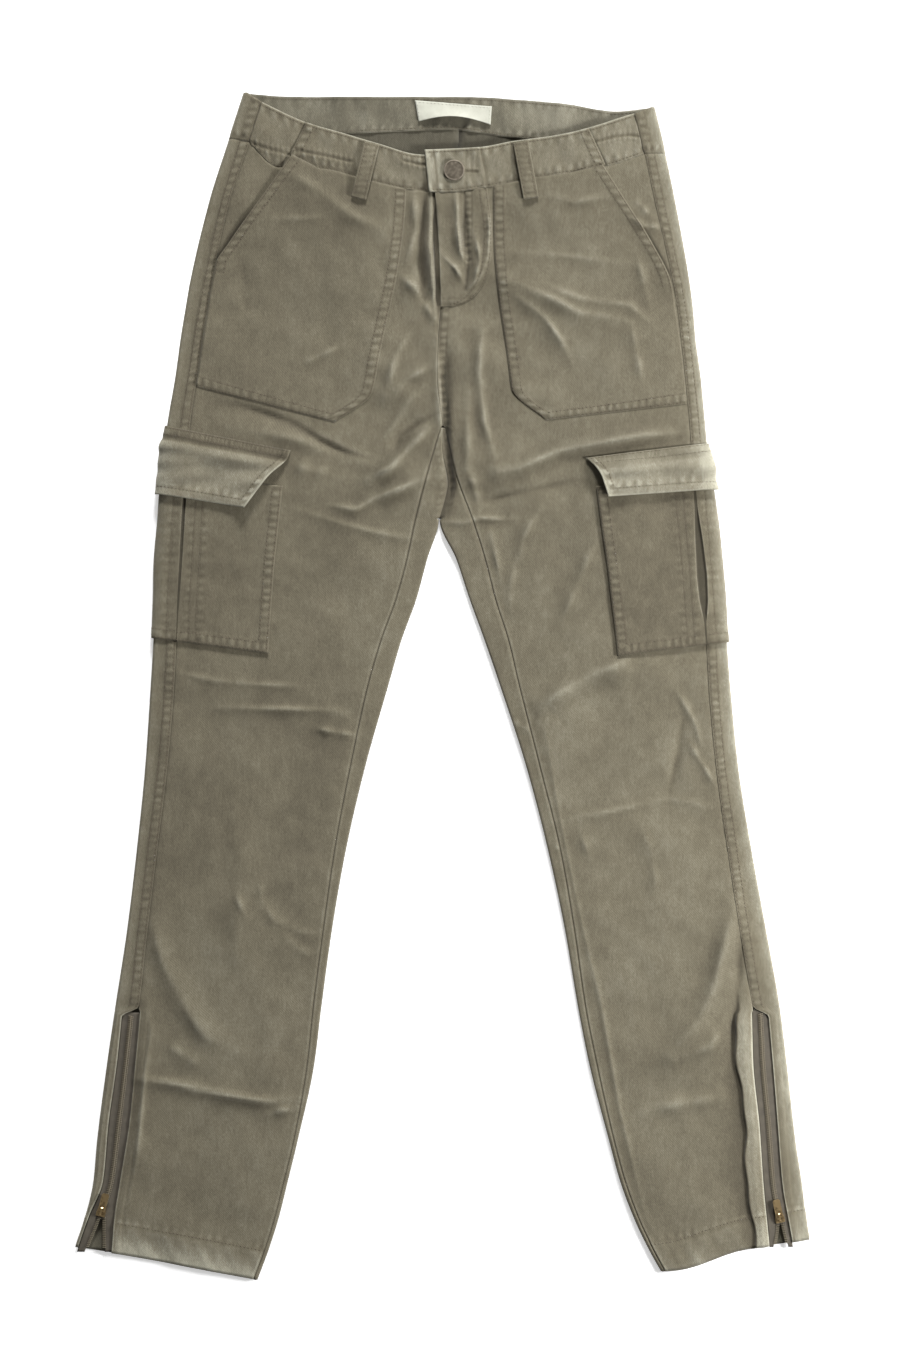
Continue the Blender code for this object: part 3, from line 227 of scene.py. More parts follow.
# The creases: height, half width to the left of its way, half width to the right, points
CREASES = (
    # right hip, on the pocket
    (1.0, 8, 13, ((-129, 424), (-102, 408), (-73, 386), (-46, 372))),
    (0.3, 4, 5, ((-147, 382), (-87, 384))),
    (-0.35, 8, 8, ((-163, 355), (-158, 301))),
    (0.6, 5, 6, ((-114, 264), (-80, 279))),
    (0.4, 12, 14, ((-177, 317), (-146, 296), (-115, 284))),
    # between the right pocket and the fly
    (1.3, 4, 6, ((-32, 337), (-18, 323), (-6, 301))),
    (1.0, 5, 5, ((-27, 288), (-37, 268), (-45, 240))),
    (0.8, 5, 8, ((-3, 262), (-14, 259), (-26, 252), (-39, 237))),
    (-1.5, 3, 9, ((5, 278), (5, 235), (6, 200), (10, 166), (4, 138))),
    (1.7, 2.5, 3, ((-8, 406), (-9, 362), (-6, 325), (-4, 300))),
    (-1.2, 2, 2, ((-4, 406), (-4.5, 366), (-2.5, 317), (-1, 300))),
    (-1.5, 3, 5, ((-12, 404), (-15, 362), (-14, 322), (-11, 298))),
    (1.1, 1.6, 7, ((-3, 288), (-2, 262), (0, 235), (1, 205), (3, 176))),
    (1.0, 4, 4, ((-22, 407), (-20, 374), (-27, 348))),
    # fly
    (1.3, 2.5, 4, ((13, 403), (14, 378), (16, 356), (22, 344))),
    (-1.2, 3, 3, ((20, 402), (20, 375), (23, 350), (20, 325))),
    (0.9, 3, 3, ((29, 368), (32, 348), (27, 330))),
    (0.9, 4, 3, ((2, 352), (12, 342), (19, 330))),
    (0.9, 3, 3, ((38, 402), (40, 375), (39, 352), (33, 335), (20, 323))),
    (1.3, 3, 8, ((35, 292), (32, 258), (37, 216), (45, 187))),
    # left hip, on the pocket
    (0.35, 4, 6, ((57, 355), (98, 353), (156, 346))),
    (0.8, 3, 4, ((156, 384), (166, 377), (181, 376))),
    (0.5, 3, 5, ((160, 398), (172, 385))),
    (1.3, 6, 12, ((55, 333), (88, 319), (113, 306), (151, 300))),
    (0.8, 5, 8, ((82, 330), (113, 318), (155, 312), (176, 294))),
    (0.8, 4, 6, ((63, 319), (86, 301), (99, 283), (108, 265))),
    (0.6, 5, 5, ((160, 355), (171, 312))),
    (0.6, 5, 5, ((156, 297), (165, 249))),
    (0.6, 5, 6, ((90, 401), (109, 396), (142, 402))),
    # crotch
    (0.6, 4, 4, ((25, 174), (31, 153))),
    # right thigh
    (-1.3, 2.6, 12, ((-168, 231), (-146, 225), (-119, 215), (-99, 202), (-78, 192), (-51, 184))),
    (1.0, 10, 12, ((-181, 214), (-115, 202), (-54, 182))),
    (1.5, 5, 7, ((-58, 169), (-41, 179), (-29, 192), (-17, 204), (-9, 212))),
    (-0.8, 3, 3, ((-37, 194), (-32, 206), (-21, 214), (-7, 221))),
    (0.6, 5, 5, ((-52, 196), (-38, 214), (-27, 232), (-14, 246))),
    (1.2, 4, 6, ((-91, 149), (-70, 145), (-56, 153), (-33, 162), (-14, 171))),
    (0.6, 3, 6, ((-123, 147), (-74, 132), (-50, 126), (-7, 118))),
    (0.8, 8, 10, ((-123, 182), (-91, 173))),
    # left thigh
    (1.5, 6, 7, ((49, 176), (65, 179), (94, 192), (114, 196), (164, 205), (201, 208))),
    (0.8, 6, 6, ((23, 251), (22, 178), (30, 153))),
    (-0.5, 3, 8, ((26, 150), (57, 157), (90, 164), (112, 169))),
    (0.7, 3, 3, ((0, 135), (20, 134), (32, 138), (61, 137))),
    (0.6, 4, 5, ((82, 145), (73, 132), (67, 120), (65, 104))),
    (0.7, 7, 7, ((127, 120), (110, 79), (98, 50))),
    (0.6, 4, 4, ((41, 128), (46, 104), (49, 87))),
    (0.4, 4, 4, ((61, 104), (57, 79), (57, 63))),
    # right leg
    (0.5, 3, 5, ((-216, 12), (-185, 5), (-148, 2), (-107, 0))),
    (0.9, 3, 6, ((-181, -17), (-123, -18), (-87, -19), (-78, -23))),
    (0.8, 4, 4, ((-105, -34), (-87, -37), (-70, -40))),
    (0.5, 14, 14, ((-169, -85), (-164, -159), (-169, -257))),
    (0.6, 4, 4, ((-169, -167), (-158, -191))),
    (0.5, 4, 5, ((-146, -175), (-136, -191), (-115, -200), (-99, -202))),
    (0.4, 4, 5, ((-128, -204), (-115, -216), (-100, -218))),
    (0.3, 4, 4, ((-148, -159), (-146, -179))),
    (0.8, 14, 8, (
        (-237, -191), (-228, -224), (-218, -245), (-205, -269), (-193, -286), (-171, -298),
    )),
    # right ankle
    (1.0, 5, 5, ((-240, -265), (-237, -282), (-242, -314), (-248, -380), (-255, -421))),
    (0.5, 7, 7, ((-226, -292), (-197, -310))),
    (1.1, 3, 8, (
        (-248, -320), (-222, -323), (-197, -329), (-177, -333), (-141, -339), (-115, -337),
    )),
    (0.8, 4, 4, ((-141, -351), (-132, -347), (-115, -345))),
    # left leg
    (1.2, 16, 7, ((164, 26), (123, 9), (98, -5), (86, -14), (82, -21))),
    (0.4, 3, 3, (
        (86, -36), (98, -109), (118, -204), (131, -257), (147, -347), (168, -435), (194, -477),
    )),
    (0.6, 4, 4, ((190, 1), (198, -11), (209, -32), (213, -48))),
    (0.6, 4, 4, ((202, -44), (217, -68), (225, -81))),
    (-0.8, 5, 5, ((198, -27), (195, -52), (187, -91))),
    (0.5, 3, 5, ((92, -110), (143, -101), (187, -91), (229, -100))),
    (0.4, 7, 7, ((164, -114), (172, -134), (176, -159), (172, -175))),
    (0.5, 5, 5, ((114, -118), (123, -142))),
    (0.5, 4, 4, ((57, -27), (73, -37))),
    (0.5, 4, 4, ((90, -126), (98, -134))),
    (1.3, 13, 9, ((246, -167), (233, -208), (225, -241), (213, -273), (188, -302))),
    (-0.8, 6, 6, ((246, -200), (243, -257), (237, -306))),
    # left ankle
    (0.8, 7, 7, ((192, -305), (221, -294), (233, -273))),
    (0.6, 7, 7, ((168, -347), (196, -341), (229, -337))),
)

# Long swells and small unevenness of the cloth: height, distance between bumps, and how much
# more the cloth is rumpled round the fly and the crotch
SWELLS = ((1.6, 95, 0.2), (1.3, 44, 0.9), (0.42, 18, 0.9), (0.06, 6, 0.9))
CREASE_SCALE = 3.1  # how much higher the creases are than their table says
RASTER = (-335, 335, -515, 515)  # the plan that the relief covers, on a 1 mm raster

# How much paler each long edge of the legs is, partly rubbed and partly the painted light of a glow
# along it, and the palest that anything gets
EDGE_RUB_AND_GLOW = {"right": 0.16, "left": 0.3}
PALEST = 0.42

# Distances of the rows of stitches from the edge of each kind of piece
HEM_ROWS = (25.0,)
SIDE_ROWS = (1.4, 7.6)
PATCH_ROWS = (1.6, 8.6)
MOUTH_ROWS = (1.2, 7.6)
CARGO_ROWS = (1.6, 8.2)
FLAP_ROWS = (6.8,)
FLAP_TOP_ROWS = (1.2, 6.8)
FLY_ROWS = (1.2, 6.6)
BAND_ROWS = (2.2,)
LOOP_ROWS = (2.0,)
LABEL_ROWS = (1.4,)
CENTRE_ROWS = (1.2, 6.8)  # beside the centre front, on the left
SEAT_ROWS = (1.6, 6.5)
FLY_INNER_ROWS = (0.8, 6.4)

# The stitches: the distance from one to the next, and the size of each
STITCH_PITCH = 3.1
STITCH_LENGTH = 2.5
STITCH_WIDTH = 0.8
STITCH_HEIGHT = 0.32

# The left front folds over itself beside the zip. Its section: share of the columns, distance
# from the zip's edge, height. Then y and how much of that section there is.
ROLL_SPAN = 16.0
ROLL_SECTION = (
    (0.0, 0.0, 1.3), (0.06, 0.9, 2.2), (0.14, 2.4, 2.9), (0.3, 6.0, 3.2), (0.46, 9.6, 3.2),
    (0.56, 11.8, 2.9), (0.62, 12.7, 2.3), (0.67, 12.9, 1.6), (0.72, 12.9, 1.0),
    (0.77, 13.0, 0.5), (0.82, 13.3, 0.2), (0.9, 14.4, 0.05), (1.0, ROLL_SPAN, 0.0),
)  # fmt: skip
ROLL_REACH = ((-236, 0.0), (-262, 0.35), (-276, 1.0), (-330, 1.05), (-400, 0.95), (-462, 0.9))

PATCH_HEIGHT = 1.15  # of a pressed-down pocket's face over the leg
FLY_SEAM_X, FLY_SEAM_FOOT = 19.0, 338.0  # the fly's inner double seam, and how low it goes

BAND_TONE = {"right": 0.06, "left": 0.12}  # how much paler than the legs each side is: partly rubbed, and on the left partly painted light
# The pressed lines across the waistband's pieces
BAND_LINES = (
    ("waistband_side_right", ((-156, 445), (-140, 439.5), (-122, 435.5))),
    ("waistband_side_left", ((127, 445.5), (142, 449.5), (154, 451), (166, 449.5))),
    ("waistband_front_right", ((-114, 438), (-95, 434.5), (-73, 429.5))),
    ("waistband_front_right", ((-30, 430), (-19, 427.5), (-8, 426))),
)
# On the tongue: the buttonhole's two ends, and the seam past it from top to foot
BUTTONHOLE = ((20.5, 421.5), (30.0, 421.0))
TONGUE_SEAM = ((33.0, 441.0), (39.5, 404.0))

FLAP_TONE = {"right": 0.04, "left": 0.1}  # how much paler than the legs the flaps are painted, as painted light that they catch
FLAP_STRIP = {"right": 1.0, "left": 0.3}  # how much of the flap's top strip shows
# How far each flap stands off the leg beyond the pocket: share of the drop, height
FLAP_STAND = ((0, 0.0), (0.1, 0.5), (0.3, 2.4), (0.6, 3.0), (1, 3.2))

TOOTH_PITCH = 1.45
TOOTH = (2.6, 0.85, 1.0)  # length, width and height of one tooth
# A tooth's section from its foot up: height, half length, half width, as shares of those
TOOTH_SECTIONS = ((0, 0.5, 0.5), (0.75, 0.48, 0.45), (1, 0.36, 0.28))

# The button's face, from its middle out: radius, height over its underside
BUTTON_PROFILE = (
    (0, 1.7), (4.0, 1.75), (6.4, 1.8), (7.0, 1.7), (7.4, 1.85), (7.9, 1.95), (8.3, 1.75),
    (8.5, 1.2), (8.1, 0.5), (7.0, 0.1), (0, 0),
)  # fmt: skip

# Colours (linear), from dark to light: where on the scale, red, green and blue
CLOTH_STOPS = (
    (0.0, (0.040, 0.034, 0.021)),
    (0.3, (0.082, 0.070, 0.046)),
    (0.5, (0.120, 0.105, 0.070)),
    (0.7, (0.170, 0.155, 0.112)),
    (1.0, (0.32, 0.308, 0.24)),
)
INSIDE_STOPS = (
    (0.0, (0.045, 0.040, 0.027)),
    (0.5, (0.112, 0.102, 0.072)),
    (1.0, (0.25, 0.235, 0.18)),
)
TAPE_STOPS = (
    (0.0, (0.043, 0.036, 0.026)),
    (0.5, (0.077, 0.066, 0.049)),
    (1.0, (0.13, 0.114, 0.086)),
)
LABEL_STOPS = ((0.0, (0.36, 0.36, 0.30)), (0.5, (0.46, 0.46, 0.39)), (1.0, (0.55, 0.56, 0.49)))
THREAD_STOPS = (
    (0.0, (0.05, 0.038, 0.024)),
    (0.5, (0.085, 0.066, 0.042)),
    (1.0, (0.14, 0.115, 0.075)),
)
BRASS_STOPS = ((0.2, (0.05, 0.034, 0.018)), (0.5, (0.17, 0.115, 0.06)), (0.8, (0.48, 0.35, 0.18)))
TEETH_STOPS = ((0.2, (0.03, 0.026, 0.02)), (0.5, (0.055, 0.047, 0.034)), (0.8, (0.18, 0.155, 0.11)))
BRONZE_STOPS = ((0.2, (0.06, 0.048, 0.034)), (0.5, (0.10, 0.083, 0.06)), (0.8, (0.21, 0.18, 0.14)))

VIEW_HEIGHT, VIEW_TALL = 3.0, 1.112  # metres: the camera's height, and how much it sees
VIEW_CENTRE = (9.4, 7.0)  # in the plan


def smooth(t):
    """0 to 1 as t goes from 0 to 1, level at both ends."""
    t = np.clip(t, 0.0, 1.0)
    return t * t * (3 - 2 * t)


def ramp(at, start, end):
    """0 before start, 1 after end, and smooth between."""
    return smooth((at - start) / (end - start))


def hump(at, middle, half):
    """1 at the middle, and fading to nothing on both sides."""
    return np.exp(-(((at - middle) / half) ** 2))


def mix(a, b, t):
    """a where t is 0, b where it is 1, and in proportion between."""
    return a + (b - a) * t


def between(rows, at):
    """Straight lines through rows of (position, value), and level past both ends."""
    return np.interp(at, *zip(*sorted(rows)))


class Curve:
    """A smooth line through rows of (position, value), with no overshoot between them."""

    def __init__(self, rows):
        self.at, self.value = np.array(sorted(rows), float).T
        rate = np.diff(self.value) / np.diff(self.at)
        before, after = rate[:-1], rate[1:]
        total = before + after
        inner = 2 * before * after / np.where(total == 0, 1, total)
        inner = np.where(before * after > 0, inner, 0)
        self.slope = np.concatenate([rate[:1], inner, rate[-1:]])

    def __call__(self, at):
        at = np.asarray(at, float)
        inside = np.clip(at, self.at[0], self.at[-1])
        i = np.clip(np.searchsorted(self.at, inside) - 1, 0, len(self.at) - 2)
        step = self.at[i + 1] - self.at[i]
        t = (inside - self.at[i]) / step
        value = (
            self.value[i] * (1 + 2 * t) * (1 - t) ** 2
            + self.value[i + 1] * t * t * (3 - 2 * t)
            + step * (self.slope[i] * t * (1 - t) ** 2 - self.slope[i + 1] * t * t * (1 - t))
        )
        past = np.where(at < inside, self.slope[0], self.slope[-1]) * (at - inside)
        return value + past


def column(rows, index):
    """A curve through one column of a table whose first column is y."""
    return Curve([(row[0], row[index]) for row in rows])


back_seam, back_top = Curve(BACK_SEAM), Curve(BACK_TOP)
front_seam, seat_seam = Curve(FRONT_SEAM), Curve(SEAT_SEAM)


def spots(x, y, z):
    """Points from their coordinates, which may be rows, columns or grids."""
    return np.stack(np.broadcast_arrays(x, y, z), -1)


def unit(v):
    return v / np.maximum(np.linalg.norm(v, axis=-1, keepdims=True), 1e-9)


def surface_normal(face, way=1):
    """Normals that point out of the face, given which way x runs along the rows."""
    return unit(np.cross(np.gradient(face, axis=1), np.gradient(face, axis=0))) * way


def lengths(line):
    """Distance along each row of points from its start."""
    steps = np.linalg.norm(np.diff(line, axis=-2), axis=-1)
    return np.concatenate([np.zeros(steps.shape[:-1] + (1,)), np.cumsum(steps, -1)], -1)


def noise(x, y, cell, seed):
    """Smooth noise from about -1 to 1, with its bumps some `cell` millimetres apart."""
    size = 256
    turns = np.random.default_rng(seed).uniform(0, 2 * math.pi, (size, size))
    turn = 0.6 + seed
    u = (x * math.cos(turn) - y * math.sin(turn)) / cell + 700.5
    v = (x * math.sin(turn) + y * math.cos(turn)) / cell + 700.5
    i, j = np.floor(u).astype(int), np.floor(v).astype(int)
    u, v = u - i, v - j
    total = 0.0
    for a, b in ((0, 0), (0, 1), (1, 0), (1, 1)):
        way = turns[(i + a) % size, (j + b) % size]
        slope = np.cos(way) * (u - a) + np.sin(way) * (v - b)
        total = total + slope * smooth(1 - abs(u - a)) * smooth(1 - abs(v - b))
    return 1.5 * total


def puckers(along, away, seed, pitch=9.0, reach=9.0):
    """The small ripples that a tight seam pulls across itself, 1 high at the seam."""
    return noise(along, 0.35 * away, 0.5 * pitch, seed) * np.exp(-np.maximum(away, 0) / reach)


def groove(away, at, depth=0.26, half=0.7):
    """The dent of a row of stitches."""
    return -depth * hump(away, at, half)


def from_crest(crest, x, y):
    """Distance to the nearest point of a crest, whether that lies left of it, and how far along."""
    nearest = np.full(np.shape(x), 1e9)
    left = np.zeros(np.shape(x), bool)
    along = np.zeros(np.shape(x))
    start = 0.0
    for (ax, ay), (bx, by) in zip(crest, crest[1:]):
        dx, dy = bx - ax, by - ay
        length = math.dist((ax, ay), (bx, by))
        t = np.clip(((x - ax) * dx + (y - ay) * dy) / length**2, 0, 1)
        away = np.hypot(x - ax - t * dx, y - ay - t * dy)
        closer = away < nearest
        nearest = np.where(closer, away, nearest)
        left = np.where(closer, dx * (y - ay) - dy * (x - ax) > 0, left)
        along = np.where(closer, start + t * length, along)
        start += length
    return nearest, left, along / start


def softened(z, passes):
    """A raster with everything smaller than a few millimetres smoothed away."""
    for _ in range(passes):
        p = np.pad(z, 1, mode="edge")
        z = (p[:-2, 1:-1] + p[2:, 1:-1] + p[1:-1, :-2] + p[1:-1, 2:] + z) / 5
    return z


def sampled(raster, x, y):
    """The value of a raster at any point of the plan."""
    u = np.clip(x - RASTER[0], 0, raster.shape[1] - 1.001)
    v = np.clip(y - RASTER[2], 0, raster.shape[0] - 1.001)
    i, j = v.astype(int), u.astype(int)
    s, t = v - i, u - j
    low = mix(raster[i, j], raster[i, j + 1], t)
    high = mix(raster[i + 1, j], raster[i + 1, j + 1], t)
    return mix(low, high, s)


class Relief:
    """The folds and creases of the front, as heights on a raster over the whole plan."""

    def __init__(self):
        x0, x1, y0, y1 = RASTER
        self.x, self.y = np.meshgrid(np.arange(x0, x1 + 1.0), np.arange(y0, y1 + 1.0))
        self.z = np.zeros(self.x.shape)
        # where the cloth is most rumpled, round the fly and the crotch
        rumpled = np.exp(-(((self.x - 5) / 95) ** 4)) * ramp(self.y, 90, 190)
        rumpled = rumpled * ramp(-self.y, -425, -380)
        for seed, (height, cell, more) in enumerate(SWELLS, 3):
            self.z += height * (1 + more * rumpled) * noise(self.x, self.y, cell, seed)
        for height, half, crest in FOLDS:
            self.stamp(crest, 2 * half, self.fold, height, half)
        for seed, (height, left, right, crest) in enumerate(CREASES):
            self.stamp(crest, 4 * max(left, right), self.crease, height, left, right, seed)
        # the relief's small ridges and hollows, for their rubbing and for their painted light and
        # shade
        self.rubbed_and_shaded = self.z - softened(self.z, 30)

    def stamp(self, crest, reach, shape, *sizes):
        """Add one fold to the part of the raster near its crest."""
        here = tuple(
            slice(max(int(min(at) - reach - low), 0), int(max(at) + reach - low))
            for at, low in zip(list(zip(*crest))[::-1], (RASTER[2], RASTER[0]))
        )
        self.z[here] += shape(*from_crest(crest, self.x[here], self.y[here]), *sizes)

    @staticmethod
    def fold(away, left, along, height, half):
        """A round swell, the same along all its length."""
        away = np.clip(away / half, 0, 1)
        return 0.6 * height * (1 - away**2) ** 2

    @staticmethod
    def crease(away, left, along, height, left_half, right_half, seed):
        """A ridge that is sharp but for its very tip, and lower and uneven towards its ends."""
        away = away / np.where(left, left_half, right_half)
        tip = 0.25
        profile = np.exp(1.8 * (tip - np.sqrt(away**2 + tip**2)))
        ends = smooth(along / 0.3) * smooth((1 - along) / 0.3)
        uneven = 0.85 + 0.3 * np.sin(2 * math.pi * (1.7 * along + 0.37 * seed))
        height = CREASE_SCALE * height * mix(0.25, 1.0, ends) * uneven
        return height * profile * (1 - ramp(away, 2.5, 4))

    def __call__(self, x, y):
        return sampled(self.z, x, y)

    def tone(self, x, y):
        """Ridges are lighter and hollows darker: partly rubbing and dye, and partly painted light
        on the ridges and painted shade in the hollows.
        """
        return np.clip(0.2 * sampled(self.rubbed_and_shaded, x, y), -0.25, 0.22)


RELIEF = Relief()


class Leg:
    """The two-layered skin of one half of the trousers, hip and leg together."""

    def __init__(self, side):
        right = side == "right"
        rows = LEG_SECTIONS[side]
        self.side = side
        self.seed = 10 if right else 20
        self.inward = 1 if right else -1
        self.half_gap = self.inward * SEAM_GAP / 2
        self.outer = self.joined(1 if right else 6, rows, 1)
        self.side_seam = self.joined(2 if right else 5, rows, 2)
        self.centre_front, self.centre_back = (column(HIP_SECTIONS, i) for i in (3, 4))
        self.inseam, self.inner = column(rows, 3), column(rows, 4)
        self.hem = Curve(HEM[side])
        zip_lines = [column(ZIP_SECTIONS[side], i) for i in (1, 2, 3, 4)]
        self.zip_back, self.zip_front, *self.teeth = zip_lines
        self.hem_level = self.meet(self.side_seam, self.hem, -462.0)[1]
        # rows of the long panels, each named by its height at the side seam
        stops = (self.hem_level, *ROW_STOPS)
        parts = [
            np.linspace(a, b, round((b - a) / pitch) + 1)[1:]
            for a, b, pitch in zip(stops, stops[1:], ROW_PITCHES)
        ]
        self.levels = np.concatenate([[self.hem_level], *parts])[:, None]

    @staticmethod
    def joined(hip_index, leg_rows, leg_index):
        hips = [(row[0], row[hip_index]) for row in HIP_SECTIONS[:-1]]
        return Curve(hips + [(row[0], row[leg_index]) for row in leg_rows])

    @staticmethod
    def meet(x_at, y_at, y):
        """The points where long lines, x from y, meet cross lines, y from x."""
        for _ in range(5):
            x = x_at(y)
            y = y_at(x)
        return x, y

    def row_y(self, level, x, waist_seam):
        """Height at x of a row, which follows the hem, the crotch or the waist seam."""
        share = (level - self.hem_level) / (NOTCH_Y - self.hem_level)
        low = mix(self.hem(x), NOTCH_Y, share)
        share = (level - CROTCH_Y) / (WAIST_LEVEL - CROTCH_Y)
        high = mix(CROTCH_Y, waist_seam(x), share)
        return np.where(level < NOTCH_Y, low, np.where(level < CROTCH_Y, level, high))

    def front_side_edge(self, y):
        """Where the front panel ends, at the side seam or the zip."""
        return np.where(y > ZIP_TOP_Y, self.side_seam(y), self.zip_front(y)) + self.half_gap

    def back_side_edge(self, y):
        """Where the back panel ends on the front of the leg, at the side seam or the zip."""
        opened = ramp(-y, -ZIP_TOP_Y - 4, -ZIP_TOP_Y + 4)
        line = mix(self.side_seam(y), self.zip_back(y), opened) - self.half_gap
        rolled = self.outer(y) + self.inward * (STACK / 2 + 0.6)
        return self.inward * np.maximum(self.inward * line, self.inward * rolled)

    def front_inner_edge(self, y):
        """Where the front panel ends, at the centre front or the inseam."""
        return np.where(y > CROTCH_Y, self.centre_front(y), self.inseam(y)) - self.half_gap

    def under(self, x, y):
        """Height of the lowest face of the back layer, over what the leg lies on."""
        near = 1 - ramp((x - self.outer(y)) * self.inward, *LIFT_REACH)
        cargo = near * (between(POCKET_LIFT, y) + between(FLAP_LIFT, y))
        return LAYER * (cargo + between(LOOP_LIFT, y))

    def over(self, x, y):
        """Height of the upper face of the front layer."""
        edge = self.outer(y)
        inner = self.inner(np.minimum(y, NOTCH_Y))
        middle = np.where(y > CROTCH_Y, self.centre_front(y), inner)
        share = np.clip((x - edge) / (middle - edge), 0, 1)
        swell = CROWN * (1 - (2 * share - 1) ** 2) + WAIST_RISE * ramp(y, 375, 420)
        rise = swell + mix(0.3, 1, self.free(x, y)) * (LOFT + RELIEF(x, y))
        lowest = 0.3 - INNER_GAP  # there the two layers touch
        room = np.logaddexp(2.5 * (rise - lowest), 0) / 2.5
        return self.under(x, y) + STACK + lowest + room

    def free(self, x, y):
        """How free the front layer is to move: not at the edges, the button and the zip."""
        from_inner = abs(x - self.inner(np.minimum(y, NOTCH_Y)))
        from_inner = from_inner + 60 * ramp(y, NOTCH_Y - 40, NOTCH_Y)
        free = ramp(np.minimum(abs(x - self.outer(y)), from_inner), -2, 24)
        from_zip = abs(x - self.teeth[0](y)) + 60 * ramp(y, ZIP_TOP_Y, ZIP_TOP_Y + 25)
        free = free * ramp(from_zip, 6, 26)
        return free * ramp(np.hypot(x - BUTTON_X, y - BUTTON_Y), 9, 24)

    def top(self, x, y, out=0.0):
        """Points `out` over the front of the leg."""
        return spots(x, y, self.over(x, y) + out)

    def bottom(self, x, y, out=0.0):
        """Points `out` below the back of the leg."""
        return spots(x, y, self.under(x, y) - out)

    def rolled(self, edge, facing, y):
        """Middle height and radius of the roll over a long edge."""
        probe = edge - facing * STACK / 2
        low, high = self.under(probe, y), self.over(probe, y)
        return (low + high) / 2, (high - low) / 2

    def roll(self, edge, facing, angle, y, out=0.0):
        """Points on the roll over a long edge: +90 degrees is the front, -90 the back."""
        middle, radius = self.rolled(edge, facing, y)
        turn = np.radians(angle)
        x = edge - facing * radius + facing * (radius + out) * np.cos(turn)
        return spots(x, y, middle + (radius + out) * np.sin(turn))

    def outer_roll(self, angle, y, out):
        """Points on the roll over the outer edge."""
        return self.roll(self.outer(y), -self.inward, angle, y, out)

    def radius(self, y):
        """Radius of the roll over the outer edge."""
        return self.rolled(self.outer(y), -self.inward, y)[1]

    def skin(self, reach, y, out):
        """Points `reach` inwards from the outer roll, `out` proud of the leg.

        Below 0 they go round the roll and then behind the leg.
        """
        radius = self.radius(y)
        half_turn = math.pi * radius
        edge = self.outer(y) + self.inward * radius
        front = self.top(edge + self.inward * reach, y, out)
        angle = np.degrees(math.pi / 2 + reach / radius)
        round_edge = self.outer_roll(angle, y, out)
        behind = self.bottom(edge - self.inward * (reach + half_turn), y, out)
        reach = np.broadcast_to(reach, front.shape[:-1])[..., None]
        half_turn = np.broadcast_to(half_turn, front.shape[:-1])[..., None]
        return np.where(reach >= 0, front, np.where(reach > -half_turn, round_edge, behind))


LEGS = {side: Leg(side) for side in ("right", "left")}


